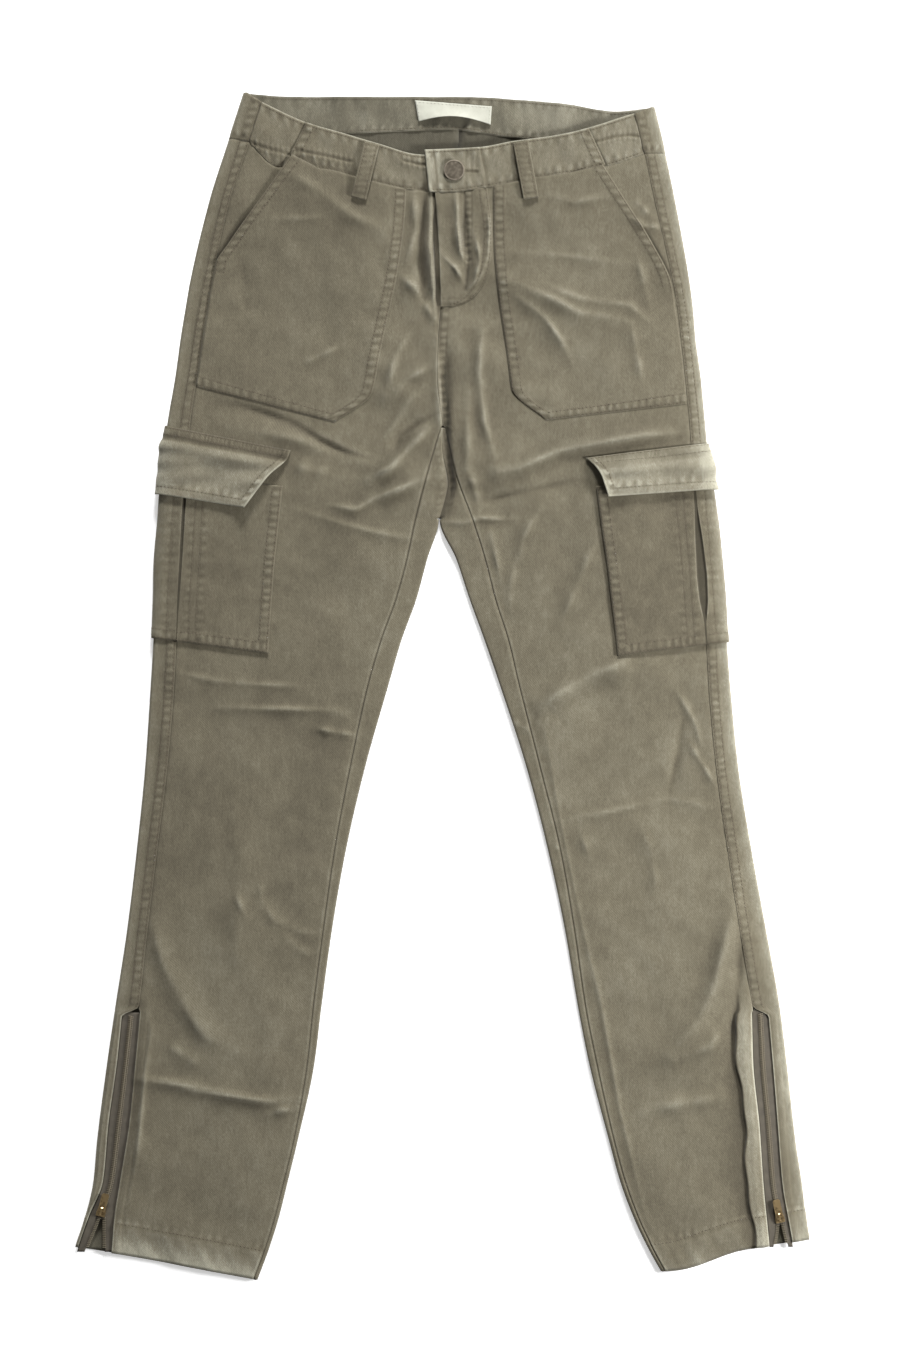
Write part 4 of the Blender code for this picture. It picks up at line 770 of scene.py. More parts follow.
class Sewn:
    """The heights and the tone that seams, rubbing and painted light and shade add to the plain
    surface of a piece.
    """

    def __init__(self, x):
        self.relief = np.zeros(np.shape(x))
        self.tone = np.zeros(np.shape(x))

    def add(self, relief=0.0, tone=0.0):
        self.relief = self.relief + relief
        self.tone = self.tone + tone

    def seam(self, along, away, rows, seed, much=1.0, fold=0.4, pitch=6.6):
        """A stitched edge: the fold of its allowance, dented rows of stitches, and ripples.

        `rows` are the distances of the rows of stitches from the edge.
        """
        first, last = rows[0], rows[-1]
        phase = 2 * math.pi * along / pitch + 2.6 * noise(along, 0, 3.2 * pitch, seed)
        strength = 0.8 + 0.7 * noise(along, 40, 2.4 * pitch, seed + 1)
        ripple = 0.6 * np.tanh(1.6 * np.cos(phase)) * strength
        if len(rows) > 1:
            middle = ramp(away, first - 0.6, first + 1.2) * (1 - ramp(away, last - 1.2, last + 0.6))
        else:
            middle = hump(away, first + 2.5, 2.6)
        beyond = 0.3 * np.exp(-np.maximum(away - last, 0) / 5) * ramp(away, last, last + 1)
        relief = fold * (1 - ramp(away, last + 0.2, last + 1.8)) - 0.25 * hump(away, 0, 0.9)
        relief = relief + 0.42 * ripple * (middle + beyond)
        # the ripples are paler on their ridges and darker between them: partly rubbing, partly
        # painted light and painted shade
        tone = 0.24 * ripple * (middle + 0.4 * beyond)
        for row in rows:
            relief = relief + groove(away, row)
            tone = tone - 0.12 * hump(away, row, 0.8)
        self.add(much * relief, much * tone)

    def pocket_edges(self, x, y, from_inner, from_foot, rows, seed):
        """The seams along the inner edge and the foot, which meet at the corner between them."""
        inner = ramp(from_foot - from_inner, -1, 1)
        self.seam(y, from_inner, rows, seed, inner)
        self.seam(x, from_foot, rows, seed + 2, 1 - inner)

    def hem_seam(self, x, to_hem, seed):
        """The hem's seam alone, for where the leg's edge rolls under."""
        self.seam(x, to_hem, HEM_ROWS, seed + 3, 0.7, 0.6, 7.5)

    def hem(self, x, to_hem, seed):
        """The hem: its double cloth twists a little along the seam, and is paler, partly rubbed and
        on the right leg partly painted light.
        """
        self.hem_seam(x, to_hem, seed)
        row = HEM_ROWS[0]
        within = 1 - ramp(to_hem, row - 3, row + 1)
        roping = noise(x + 0.5 * to_hem, 0.3 * to_hem, 9, seed + 9)
        # painted light: the right leg's hem is painted paler than the left one's, as more light
        # falls there
        pale = (0.36 if seed < 15 else 0.13) * (1 - 0.75 * ramp(to_hem, 3, row - 3))
        worn = 0.15 * hump(to_hem, 0, 2.0)
        stitched = 0.15 * hump(to_hem, row + 1.6, 0.9)
        self.add(0.35 * within * roping, within * (pale + 0.12 * roping) + worn + stitched)

    def inseam(self, away, much=1.0):
        """A plain pressed seam: a dark line in a shallow groove with pale shoulders."""
        relief = 0.16 * hump(away, 1.5, 1.0) - 0.22 * hump(away, 0, 0.6)
        self.add(much * relief, much * (0.14 * hump(away, 1.5, 0.9) - 0.2 * hump(away, 0, 0.7)))

    def zip_edge(self, y, away, much, seed):
        """The pressed fold of the cloth beside a zip, rubbed pale along its edge."""
        fold = 0.45 * (1 - ramp(away, 5.0, 7.5)) + 0.25 * puckers(y, away, seed, 12, 5)
        self.add(much * fold, much * (0.4 * hump(away, 0, 0.9) - 0.12 * hump(away, 1.8, 0.7)))

    def pressed_line(self, line, x, y):
        """A sharp pressed line with small puckers along it."""
        away = from_crest(line, x, y)[0]
        ripple = np.cos(2 * math.pi * x / 4.3) * hump(away, 2.5, 2.5)
        relief = 0.3 * hump(away, 2.4, 1.6) - 0.7 * hump(away, 0, 1.0) + 0.25 * ripple
        # painted shade along the line's groove, and painted light and shade on the ripples
        self.add(relief, 0.08 * ripple - 0.25 * hump(away, 0, 0.9))


def new_object(name, corners, faces, materials, rounded=True):
    """An object in metres from points in millimetres."""
    corners = (np.asarray(corners, float) - (ORIGIN_X, 0, 0)) * MM
    mesh = bpy.data.meshes.new(name)
    mesh.from_pydata(corners.tolist(), [], faces.tolist() if hasattr(faces, "tolist") else faces)
    for material in materials:
        mesh.materials.append(material)
    mesh.polygons.foreach_set("use_smooth", [rounded] * len(mesh.polygons))
    mesh.update()
    obj = bpy.data.objects.new(name, mesh)
    bpy.context.scene.collection.objects.link(obj)
    return obj


def wear_and_painted_light(x, y):
    """The outer edges are paler, partly rubbed and partly painted light; beside the seat seam lies
    a painted shadow, and the right thigh gets painted shade.
    """
    # painted light and rubbing along the outer edges
    edges = sum(
        EDGE_RUB_AND_GLOW[side] * (1 - ramp((x - leg.outer(y)) * leg.inward, 0, 13))
        for side, leg in LEGS.items()
    )
    # painted shadow beside the seat seam, as under the fold there
    seam = seat_seam(np.clip(y, NOTCH_Y, CROTCH_Y))
    shadow_beside_seam = hump(x - seam, 5, 5) * ramp(y, 128, 150) * (1 - ramp(y, 240, 285))
    # painted shade over the outer part of the right leg, from below the knee to the waist, as the
    # light falls off towards that side
    thigh = 0.06 * ramp(-x, 40, 95) * ramp(y, -260, -120) * (1 - ramp(y, 410, 440))
    return edges - 0.26 * shadow_beside_seam - thigh


class Cloth:
    """A piece of cloth from rows of face points and the lining behind them."""

    made = {}

    def __init__(self, node, face, lining, tone=0.0, gone=None):
        self.node = node
        for layer, lowest in ((face, FACE_LOWEST), (lining, LINING_LOWEST)):
            layer[..., 2] = np.maximum(layer[..., 2], lowest)
        self.face, self.lining = face, lining
        self.kept = np.ones(np.array(face.shape[:2]) - 1, bool) if gone is None else ~gone
        x, y = face[..., 0], face[..., 1]
        self.tone = np.minimum(tone + RELIEF.tone(x, y) + wear_and_painted_light(x, y), PALEST)
        self.inner_tone = 0 * self.tone
        self.runs = []
        Cloth.made[node] = self

    def build(self, material, inside):
        """The mesh: face and lining, closed along every border and round every opening."""
        count = self.tone.size
        index = np.arange(count).reshape(self.tone.shape)
        quads = np.stack([index[:-1, :-1], index[:-1, 1:], index[1:, 1:], index[1:, :-1]], -1)
        quads = quads[self.kept]
        edges = np.concatenate([quads[:, [k, (k + 1) % 4]] for k in range(4)])
        keys = np.sort(edges, 1) @ (count, 1)
        first, times = np.unique(keys, return_index=True, return_counts=True)[1:]
        rim = edges[first[times == 1]]
        sides = np.stack([rim[:, 1], rim[:, 0], rim[:, 0] + count, rim[:, 1] + count], -1)
        faces = np.concatenate([quads, quads[:, ::-1] + count, sides])
        corners = np.concatenate([self.face.reshape(-1, 3), self.lining.reshape(-1, 3)])
        a, b, c, d = (corners[faces[:, k]] for k in range(4))
        volume = np.sum(a * (np.cross(b, c) + np.cross(c, d)))
        if volume < 0:
            faces = faces[:, ::-1]
        used, place = np.unique(faces, return_inverse=True)
        faces = place.reshape(faces.shape)
        obj = new_object(f"{self.node}_cloth", corners[used], faces, [material, inside])
        slots = np.zeros(len(faces), int)
        slots[len(quads) : 2 * len(quads)] = 1
        obj.data.polygons.foreach_set("material_index", slots)
        # how much lighter or darker each point is than the plain cloth
        tone = np.concatenate([self.tone.ravel(), self.inner_tone.ravel()])[used]
        layer = obj.data.attributes.new("tone", "FLOAT", "POINT")
        layer.data.foreach_set("value", tone.astype(np.float32))
        return obj

    def flat(self):
        """The cut: its greatest width and length, and its area, in metres."""
        width = lengths(self.face)[:, -1].max()
        length = lengths(self.face.transpose(1, 0, 2))[:, -1].max()
        a, b = self.face[:-1, :-1], self.face[1:, :-1]
        c, d = self.face[1:, 1:], self.face[:-1, 1:]
        area = np.linalg.norm(np.cross(c - a, d - b), axis=-1) / 2
        return (width * MM, length * MM), area[self.kept].sum() * MM * MM

    def line(self, border, inset, start, end, inner=False):
        """Points and normals along a border, `inset` in from it, trimmed at both ends."""
        face = self.lining if inner else self.face
        both = np.concatenate([face, surface_normal(face)], -1)
        if border in ("first row", "last row"):
            both = both.transpose(1, 0, 2)
        if border in ("last row", "last column"):
            both = both[:, ::-1]
        line = np.array(
            [
                [np.interp(inset, reach, row[:, k]) for k in range(6)]
                for reach, row in zip(lengths(both[..., :3]), both)
            ]
        )
        along = lengths(line[:, :3])
        return line[(along >= start) & (along <= along[-1] - end)]

    def sew(self, border, rows, start=1.5, end=1.5, above=None, inner=False):
        """Rows of stitches along a border, all of it or only what is above a height."""
        for inset in rows:
            run = self.line(border, inset, start, end, inner)
            self.runs.append(run if above is None else run[run[:, 1] > above])


def thread(name, runs, material):
    """One object of stitches: a small lozenge each STITCH_PITCH along every run."""
    lozenge = np.array(
        [(0, 2, 4), (2, 1, 4), (1, 3, 4), (3, 0, 4), (2, 0, 5), (1, 2, 5), (3, 1, 5), (0, 3, 5)]
    )
    corners, faces = [], []
    for run in runs:
        reach = lengths(run[:, :3])
        if reach[-1] < STITCH_PITCH:
            continue
        stops = np.arange(STITCH_PITCH / 2, reach[-1], STITCH_PITCH)
        places = (stops + way * STITCH_LENGTH / 2 for way in (0, -1, 1))
        middle, start, end = (
            np.stack([np.interp(at, reach, run[:, k]) for k in range(6)], -1) for at in places
        )
        ahead = unit(end[:, :3] - start[:, :3])
        up = unit(middle[:, 3:])
        # on the front of the leg they all stand up
        up = np.where(up[:, 2:] < -0.2, -up, up) if middle[:, 2].min() > 2.5 else up
        side = unit(np.cross(up, ahead))
        centre = middle[:, :3]
        tips, half = 0.5 * STITCH_LENGTH * ahead, STITCH_WIDTH / 2 * side
        shape = np.stack(
            (
                centre - tips - 0.06 * up,
                centre + tips - 0.06 * up,
                centre + half + 0.08 * up,
                centre - half + 0.08 * up,
                centre + STITCH_HEIGHT * up,
                centre - 0.15 * up,
            ),
            1,
        ).reshape(-1, 3)
        shape[:, 2] = np.maximum(shape[:, 2], 0.01)
        first = 6 * np.arange(len(stops))[:, None, None] + sum(map(len, corners))
        corners.append(shape)
        faces.append((first + lozenge).reshape(-1, 3))
    return new_object(name, np.concatenate(corners), np.concatenate(faces), [material])


def tucked(face, lining, tone, last=True):
    """One more row, past the last one or the first, that goes in under the waistband."""
    edge = slice(-1, None) if last else slice(0, 1)
    inwards = np.sign(lining[edge, :, 2:] - face[edge, :, 2:])
    step = np.concatenate([0 * inwards, 0 * inwards + TUCK, 0.8 * inwards], -1)
    more = (face[edge] + step, lining[edge] + step, tone[edge])
    pairs = zip((face, lining, tone), more)
    return [np.concatenate(pair if last else pair[::-1]) for pair in pairs]


def beside_zip(y):
    """1 along the zip and 0 above it."""
    return 1 - ramp(y, ZIP_TOP_Y - 2, ZIP_TOP_Y + 6)


def front_panel(leg):
    """It lies between the side seam or the zip and the inseam or the centre front."""
    near_side, middle, near_inner = 24, 72, 12  # columns
    inner_span = 9.0
    beside = np.linspace(0, ROLL_SPAN, near_side)
    share = np.linspace(0, 1, middle + 2)[1:-1]
    zero, one = np.zeros(near_side), np.ones(near_inner)
    share_all = np.concatenate([zero, share, one])
    from_side = np.concatenate([beside, ROLL_SPAN * (1 - share), 0 * one])
    from_inner = np.concatenate([zero, inner_span * share, np.linspace(inner_span, 0, near_inner)])

    def x_at(y):
        line = mix(leg.front_side_edge(y), leg.front_inner_edge(y), share_all)
        return line + leg.inward * (from_side - from_inner)

    row = lambda x: leg.row_y(leg.levels, x, front_seam)
    x, y = leg.meet(x_at, row, leg.levels)
    to_side, to_inner = abs(x - leg.front_side_edge(y)), abs(x - leg.front_inner_edge(y))
    below_crotch = 1 - ramp(y, CROTCH_Y - 10, CROTCH_Y)
    zipped = beside_zip(y)
    sewn = Sewn(x)
    plain = 1 - zipped
    sewn.add(plain * -0.2 * hump(to_side, 0, 1.2), plain * -0.05 * hump(to_side, 0, 1))
    sewn.add(0.3 * plain * puckers(y, to_side, leg.seed, 7, 6))
    sewn.zip_edge(y, to_side, zipped, leg.seed + 1)
    sewn.inseam(to_inner, below_crotch)
    # the shade inside the pocket's mouth
    mouth = column([(ay, ax) for ax, ay, *_ in PATCH_SECTIONS[leg.side]], 1)(y)
    foot = MOUTH_FOOT_Y[leg.side]
    opened = ramp(y, foot - 2, foot + 12) * (1 - ramp(y, foot + 30, foot + 60))
    sewn.add(0, -0.5 * opened * hump((mouth - x) * leg.inward, 0.8, 1.8))
    if leg.side == "left":
        joined = (1 - below_crotch) * ramp(-y, -316, -308)
        sewn.seam(y, to_inner, CENTRE_ROWS, leg.seed + 8, joined, 0.3)
    sewn.add(0.14 * below_crotch * puckers(y, to_inner, leg.seed + 2, 10, 6))
    sewn.hem(x, y - leg.hem(x), leg.seed)
    face = leg.top(x, y, sewn.relief)
    strip = face[:, :near_side]
    if leg.side == "left":
        share = beside / ROLL_SPAN
        much = roll_beside_zip(leg, strip, share)
        # painted highlight on the top of the roll, painted shade under its overhang, and a painted
        # shadow on the panel beside it
        sewn.tone[:, :near_side] += much * mix(0.22, -0.3, ramp(share, 0.52, 0.66))
        shaded = much[:, -1:] * np.exp(-np.maximum(to_side - ROLL_SPAN, 0) / 9)
        sewn.tone[:, near_side:] -= 0.3 * shaded[:, near_side:]
    lining = face - CLOTH * surface_normal(face, leg.inward)
    lining[..., :2] = mix(lining[..., :2], face[..., :2], 0.85)
    if leg.side == "left":
        lining[:, :near_side] = strip
        lining[:, :near_side, 2] = leg.over(strip[..., 0], strip[..., 1]) - CLOTH
    cloth = Cloth(f"leg_front_{leg.side}", *tucked(face, lining, sewn.tone))
    cloth.sew("first row", HEM_ROWS)


def roll_beside_zip(leg, strip, share):
    """Lay the columns beside the left zip over the roll, and say how much of it each row has."""
    rows = np.array(ROLL_SECTION)
    away, up = (np.interp(share, rows[:, 0], rows[:, k]) for k in (1, 2))
    y = strip[..., 1]
    much = np.clip(between(ROLL_REACH, y), 0, 1.1)
    wave = 1 + 0.12 * np.sin(y / 17) + 0.06 * np.sin(y / 6.3)
    away = np.minimum(away * wave, 14.2 + 1.8 * share)
    away = mix(ROLL_SPAN * share, away, np.minimum(much, 1))
    strip[..., 0] = leg.front_side_edge(y) + leg.inward * away
    strip[..., 2] += much * up
    return np.minimum(much, 1)


def back_panel(leg):
    """It rolls over the leg's long edges to its seams on the front."""
    outer_strip, rolls, middle, inner_strip = 18, 9, 26, 9  # columns
    out_share = np.linspace(0, 1, outer_strip) ** 1.25
    in_share = np.linspace(0, 1, inner_strip) ** 0.8
    under_share = np.linspace(0, 1, middle + 2)[1:-1]
    angles = np.linspace(90, -90, rolls)
    levels = leg.levels
    apart = levels <= NOTCH_Y  # where the leg has an inner edge to roll over
    front_row = lambda x: leg.row_y(levels, x, front_seam)
    back_row = lambda x: leg.row_y(levels, x, back_seam)
    strips = []  # face, lining and tone

    def lay(x, y, sewn):
        """Add a strip on the front of the leg."""
        strips.append((leg.top(x, y, sewn.relief), leg.top(x, y, sewn.relief - CLOTH), sewn.tone))

    seam_x, seam_y = leg.meet(leg.back_side_edge, front_row, levels)
    edge_y = leg.meet(leg.outer, back_row, levels)[1]
    edge_x = leg.outer(edge_y) + leg.inward * leg.radius(edge_y)
    x, y = mix(seam_x, edge_x, out_share), mix(seam_y, edge_y, out_share)
    away, zipped = abs(x - seam_x), beside_zip(y)
    sewn = Sewn(x)
    sewn.seam(y, away, SIDE_ROWS, leg.seed + 4, 1 - zipped)
    sewn.zip_edge(y, away, zipped, leg.seed + 5)
    sewn.relief *= 1 - ramp(out_share, 0.85, 1)
    sewn.hem(x, y - leg.hem(x), leg.seed)
    lay(x, y, sewn)

    turned = Sewn(edge_y)
    turned.hem_seam(leg.outer(edge_y), edge_y - leg.hem(leg.outer(edge_y)), leg.seed)
    for angle in angles:
        raised = turned.relief * ramp(angle, -45, 30)
        pair = (leg.outer_roll(angle, edge_y, out) for out in (raised, raised - CLOTH))
        strips.append((*pair, turned.tone))

    back_edge = lambda y: np.where(apart, leg.inner(y), leg.centre_back(y))
    far_x, far_y = leg.meet(back_edge, back_row, levels)
    room = np.where(apart, leg.inward * STACK / 2, leg.half_gap)
    x = mix(edge_x, far_x - room, under_share)
    y = leg.row_y(levels, x, back_seam)
    lift = 0.9 * np.maximum(0, RELIEF(x + 37, -y) - 0.25) * np.sin(math.pi * under_share) ** 0.5
    strips.append((leg.bottom(x, y, -lift), leg.bottom(x, y, -lift - CLOTH), 0 * x))

    inseam_x, inseam_y = leg.meet(leg.inseam, front_row, levels)
    seat_x = seat_seam(inseam_y) - leg.half_gap
    low = leg.bottom(leg.centre_back(far_y) - leg.half_gap, far_y)
    high = leg.top(seat_x, inseam_y)
    for angle in angles[::-1]:
        pair = []
        for out in (0, -CLOTH):
            rolled = leg.roll(leg.inner(far_y), leg.inward, angle, far_y, out)
            plain = low + (0, 0, -out) if angle < 0 else high + (0, 0, out)
            pair.append(np.where(apart[..., None], rolled, plain))
        strips.append((*pair, 0 * far_y))

    radius = leg.rolled(leg.inner(far_y), leg.inward, far_y)[1]
    start_x = np.where(apart, leg.inner(far_y) - leg.inward * radius, seat_x)
    start_y = np.where(apart, far_y, inseam_y)
    x, y = mix(start_x, inseam_x + leg.half_gap, in_share), mix(start_y, inseam_y, in_share)
    away = abs(x - inseam_x)
    sewn = Sewn(x)
    sewn.inseam(away)
    sewn.add(0.14 * puckers(y, away, leg.seed + 6, 10, 5))
    seat = 0.6 * ramp(y, NOTCH_Y, NOTCH_Y + 6)
    sewn.seam(y, abs(x - seat_seam(y)), SEAT_ROWS, leg.seed + 7, seat, 0.2)
    sewn.relief *= smooth(in_share * 6)
    lay(x, y, sewn)

    # without the doubled columns where the flat parts meet the rolls
    doubled = [outer_strip, outer_strip + 2 * rolls + middle]
    parts = (np.delete(np.concatenate(part, 1), doubled, 1) for part in zip(*strips))
    face, lining, tone = tucked(*parts)
    gone = np.zeros(np.array(tone.shape) - 1, bool)
    notch, crotch = (np.argmin(abs(levels - y)) for y in (NOTCH_Y, CROTCH_Y))
    roll_start = outer_strip - 1 + rolls + middle
    gone[notch:, roll_start : roll_start + rolls - 1] = True
    gone[crotch:, roll_start:] = True
    cloth = Cloth(f"leg_back_{leg.side}", face, lining, tone, gone)
    x, y = face[..., 0], face[..., 1]
    # painted shade on the inside of the back at the waist, seen under the front waistband
    cloth.inner_tone = -0.32 * ramp(y, 415, 432) * (1 - ramp(abs(x - 5), 75, 130))
    cloth.sew("first column", SIDE_ROWS, 0, 0, ZIP_TOP_Y + 2)
    cloth.sew("first row", HEM_ROWS)


def band_foot(leg, x):
    """Where the front waistband's lower edge crosses x."""
    return front_seam(x) + between(BAND_CLIMB[leg.side], x)


def patch_pocket(leg):
    """A front pocket, sewn along its inner edge and foot, with a slanted open mouth."""
    rows, columns = 124, 92
    foot = MOUTH_FOOT_Y[leg.side]
    table = np.array(PATCH_SECTIONS[leg.side], float)
    steps = np.maximum(abs(np.diff(table[:, 1])), abs(np.diff(table[:, 3])))
    at = np.concatenate([[0], np.cumsum(steps)])
    t = np.linspace(0, at[-1], rows)[:, None]
    ax, ay, bx, by = (Curve(zip(at, values))(t) for values in table.T)
    seam = leg.side_seam(ay) + leg.inward * 0.5
    ax = leg.inward * np.maximum(leg.inward * ax, leg.inward * seam)
    share = np.linspace(0, 1, columns)
    x, y = mix(ax, bx, share), mix(ay, by, share)
    y = y + (band_foot(leg, x[0]) - SEAM_GAP - y[0]) * (1 - ramp(t, 0, at[1]))
    flat = spots(x, y, 0.0)
    from_outer, from_top = lengths(flat), lengths(flat.transpose(1, 0, 2)).T
    from_inner, from_foot = from_outer[:, -1:] - from_outer, from_top[-1] - from_top
    seed = leg.seed + 6
    mouth = ramp(y, foot - 12, foot + 8)
    sewn = Sewn(x)
    sewn.pocket_edges(x, y, from_inner, from_foot, PATCH_ROWS, seed)
    sewn.seam(y, from_outer, MOUTH_ROWS, seed + 4, mouth)
    lifted = mouth * 0.9 * np.exp(-from_outer / 7)
    sewn.add(lifted, 0.1 * mouth * hump(from_outer, 0, 0.8))
    sewn.add(0.35 * (1 - mouth) * puckers(y, from_outer, seed + 5, 7, 6))
    sewn.add(0.3 * puckers(x, from_top, seed + 6, 9, 8))
    edge = np.minimum(from_inner, from_foot)
    rounded = 0.45 * np.exp(-edge / 0.8) + 0.45 * np.exp(-edge / 9)
    face = leg.top(x, y, PATCH_HEIGHT + sewn.relief - rounded)
    lining = leg.top(x, y, 0.12 + lifted)
    cloth = Cloth(f"pocket_{leg.side}", *tucked(face, lining, sewn.tone, last=False))
    for inset in PATCH_ROWS:
        cloth.sew("last column", (inset,), 1, inset)
        cloth.sew("last row", (inset,), inset, inset)
    cloth.sew("first column", MOUTH_ROWS, 2, 0, foot - 5)


def fly_overlap():
    """The flap of the left front over the fly, with its J-shaped seam."""
    leg = LEGS["left"]
    rows, columns = 90, 64
    top, foot = FLY_SECTIONS[0][0], FLY_SECTIONS[-1][0]
    y = np.linspace(top, foot, rows)[:, None]
    left, right = (column(FLY_SECTIONS, i)(y) for i in (1, 2))
    x = mix(left, right, np.linspace(0, 1, columns))
    y = y + (band_foot(leg, x) - SEAM_GAP - top) * (1 - ramp(top - y, 0, 12))
    from_free, low = x - left, y - foot
    from_seam = np.minimum(right - x, low)
    sewn = Sewn(x)
    sewn.seam(y, from_seam, FLY_ROWS, 41, 0.5, 0.1)
    inner_seam = ramp(y, FLY_SEAM_FOOT, FLY_SEAM_FOOT + 12)
    sewn.seam(y, x - FLY_SEAM_X, FLY_INNER_ROWS, 47, 0.9 * inner_seam, 0.0, 5.6)
    sewn.add(0.3 * puckers(x, low, 42, 9, 8) + 0.5 * puckers(y, from_free, 43, 15, 9))
    lifted = 0.9 * np.exp(-from_free / 4)
    sewn.add(lifted, 0.2 * hump(from_free, 0, 1.0))
    thick = mix(0.25, CLOTH, ramp(from_seam, 0, FLY_ROWS[-1]))
    face = leg.top(x, y, 0.35 + thick + sewn.relief)
    lining = leg.top(x, y, 0.3 + 0.8 * lifted)
    cloth = Cloth("fly_overlap", *tucked(face, lining, sewn.tone, last=False))
    cloth.sew("last column", FLY_ROWS, 1, 1)


def band(name, leg, cuts, lines, columns, seed, end_rows=(), tuck=0.0):
    """A waistband piece on the front, between two cuts. Each cut is a top and a foot point.

    `tuck` of its start goes in under the next piece.
    """
    top_line, foot_line = lines
    (top_a, foot_a), (top_b, foot_b) = cuts
    t = np.linspace(0, 1, columns)[:, None]
    share = np.linspace(0, 1, 30)
    top_x, foot_x = mix(top_a[0], top_b[0], t), mix(foot_a[0], foot_b[0], t)
    x = mix(top_x, foot_x, share)
    y = mix(top_line(top_x), foot_line(foot_x), share)
    tall = top_line(top_x) - foot_line(foot_x)
    from_top, from_foot = share * tall, (1 - share) * tall
    out = BAND_PROUD * ramp(from_foot, -1, 7)
    sewn = Sewn(x)
    sewn.seam(x, from_top, BAND_ROWS, seed, 1.0, 0.15, 9)
    sewn.seam(x, from_foot, BAND_ROWS, seed + 2, 1.0, 0.15, 8)
    # the band's top edge is paler, and BAND_TONE adds rubbing and, on the left, painted light
    sewn.add(0.8 * noise(x, y, 14, seed + 4), 0.3 * hump(from_top, 0, 1.1) + BAND_TONE[leg.side])
    sewn.add(0.6 * puckers(x, from_foot, seed + 7, 8, 9))
    if name == "waistband_front_left":  # its tongue laps over the other end
        out = out + (BAND + LAY_GAP) * (1 - ramp(x, *LAP_SLOPE))
        sewn.add(*tongue_details(x, y, from_foot))
    for banded, line in BAND_LINES:
        if banded == name:
            sewn.pressed_line(line, x, y)
    from_start = lengths(np.stack([x, y], -1).transpose(1, 0, 2)).T
    if tuck:
        sewn.add(-1.1 * (1 - ramp(from_start, tuck - 0.2, tuck + 1.2)))
    if end_rows:
        sewn.seam(y, from_start[-1:] - from_start, end_rows, seed + 5, 1.0, 0.3)
    cloth = Cloth(name, leg.top(x, y, out + sewn.relief), leg.top(x, y, out - BAND), sewn.tone)
    cloth.sew("first column", BAND_ROWS)
    cloth.sew("last column", BAND_ROWS)
    cloth.sew("last row", end_rows)


def tongue_details(x, y, from_foot):
    """The stitched buttonhole beside the button, and the seam where the fly's layers end."""
    away = from_crest(BUTTONHOLE, x, y)[0]
    relief, tone = 0.35 * hump(away, 1.8, 0.9) - 0.6 * hump(away, 0, 0.8), -0.4 * hump(away, 0, 1.2)
    (ax, ay), (bx, by) = TONGUE_SEAM
    from_seam = x - mix(ax, bx, (ay - y) / (ay - by))
    relief = relief + 0.35 * hump(from_seam, -2.2, 1.5) - 0.5 * hump(from_seam, 0, 0.9)
    tone = tone - 0.2 * hump(from_seam, 0, 0.9) + 0.12 * hump(from_seam, -2, 1.2)
    ripple = np.cos(2 * math.pi * x / 4.6) * hump(x, 24, 8) * ramp(from_foot, 2, 8)
    (bx, by), (ax, ay) = TONGUE
    free = x - mix(ax, bx, (y - ay) / (by - ay))
    relief = relief + 0.22 * ripple - 0.35 * hump(free, 7.5, 1.0)
    return relief, tone + 0.06 * ripple + 0.16 * (1 - ramp(x, -3, 6)) - 0.25 * hump(free, 7.6, 0.9)


def moved(cut, distance):
    """A cut through the waistband, moved sideways."""
    return tuple((x + distance, y) for x, y in cut)


def front_bands():
    """On each side a piece from the middle to the pocket's line, and one on to the side seam."""
    for side, leg in LEGS.items():
        top_line = Curve(FRONT_TOP[side])
        cuts = (
            TONGUE if side == "left" else ((LAP_END, 0), (LAP_END, 0)),
            moved(POCKET_CUT[side], leg.half_gap),
        )
        lines = (top_line, lambda x, leg=leg: band_foot(leg, x) + SEAM_GAP)
        band(f"waistband_front_{side}", leg, cuts, lines, 110, 50 + leg.seed, MOUTH_ROWS)
        tuck = 3.0
        cuts = (
            moved((POCKET_CUT[side][0], SIDE_CUT_LOW[side]), leg.inward * tuck),
            moved(SIDE_SEAM_CUT[side], leg.half_gap),
        )
        lines = (top_line, lambda x: front_seam(x) + SEAM_GAP)
        band(f"waistband_side_{side}", leg, cuts, lines, 40, 60 + leg.seed, tuck=tuck)


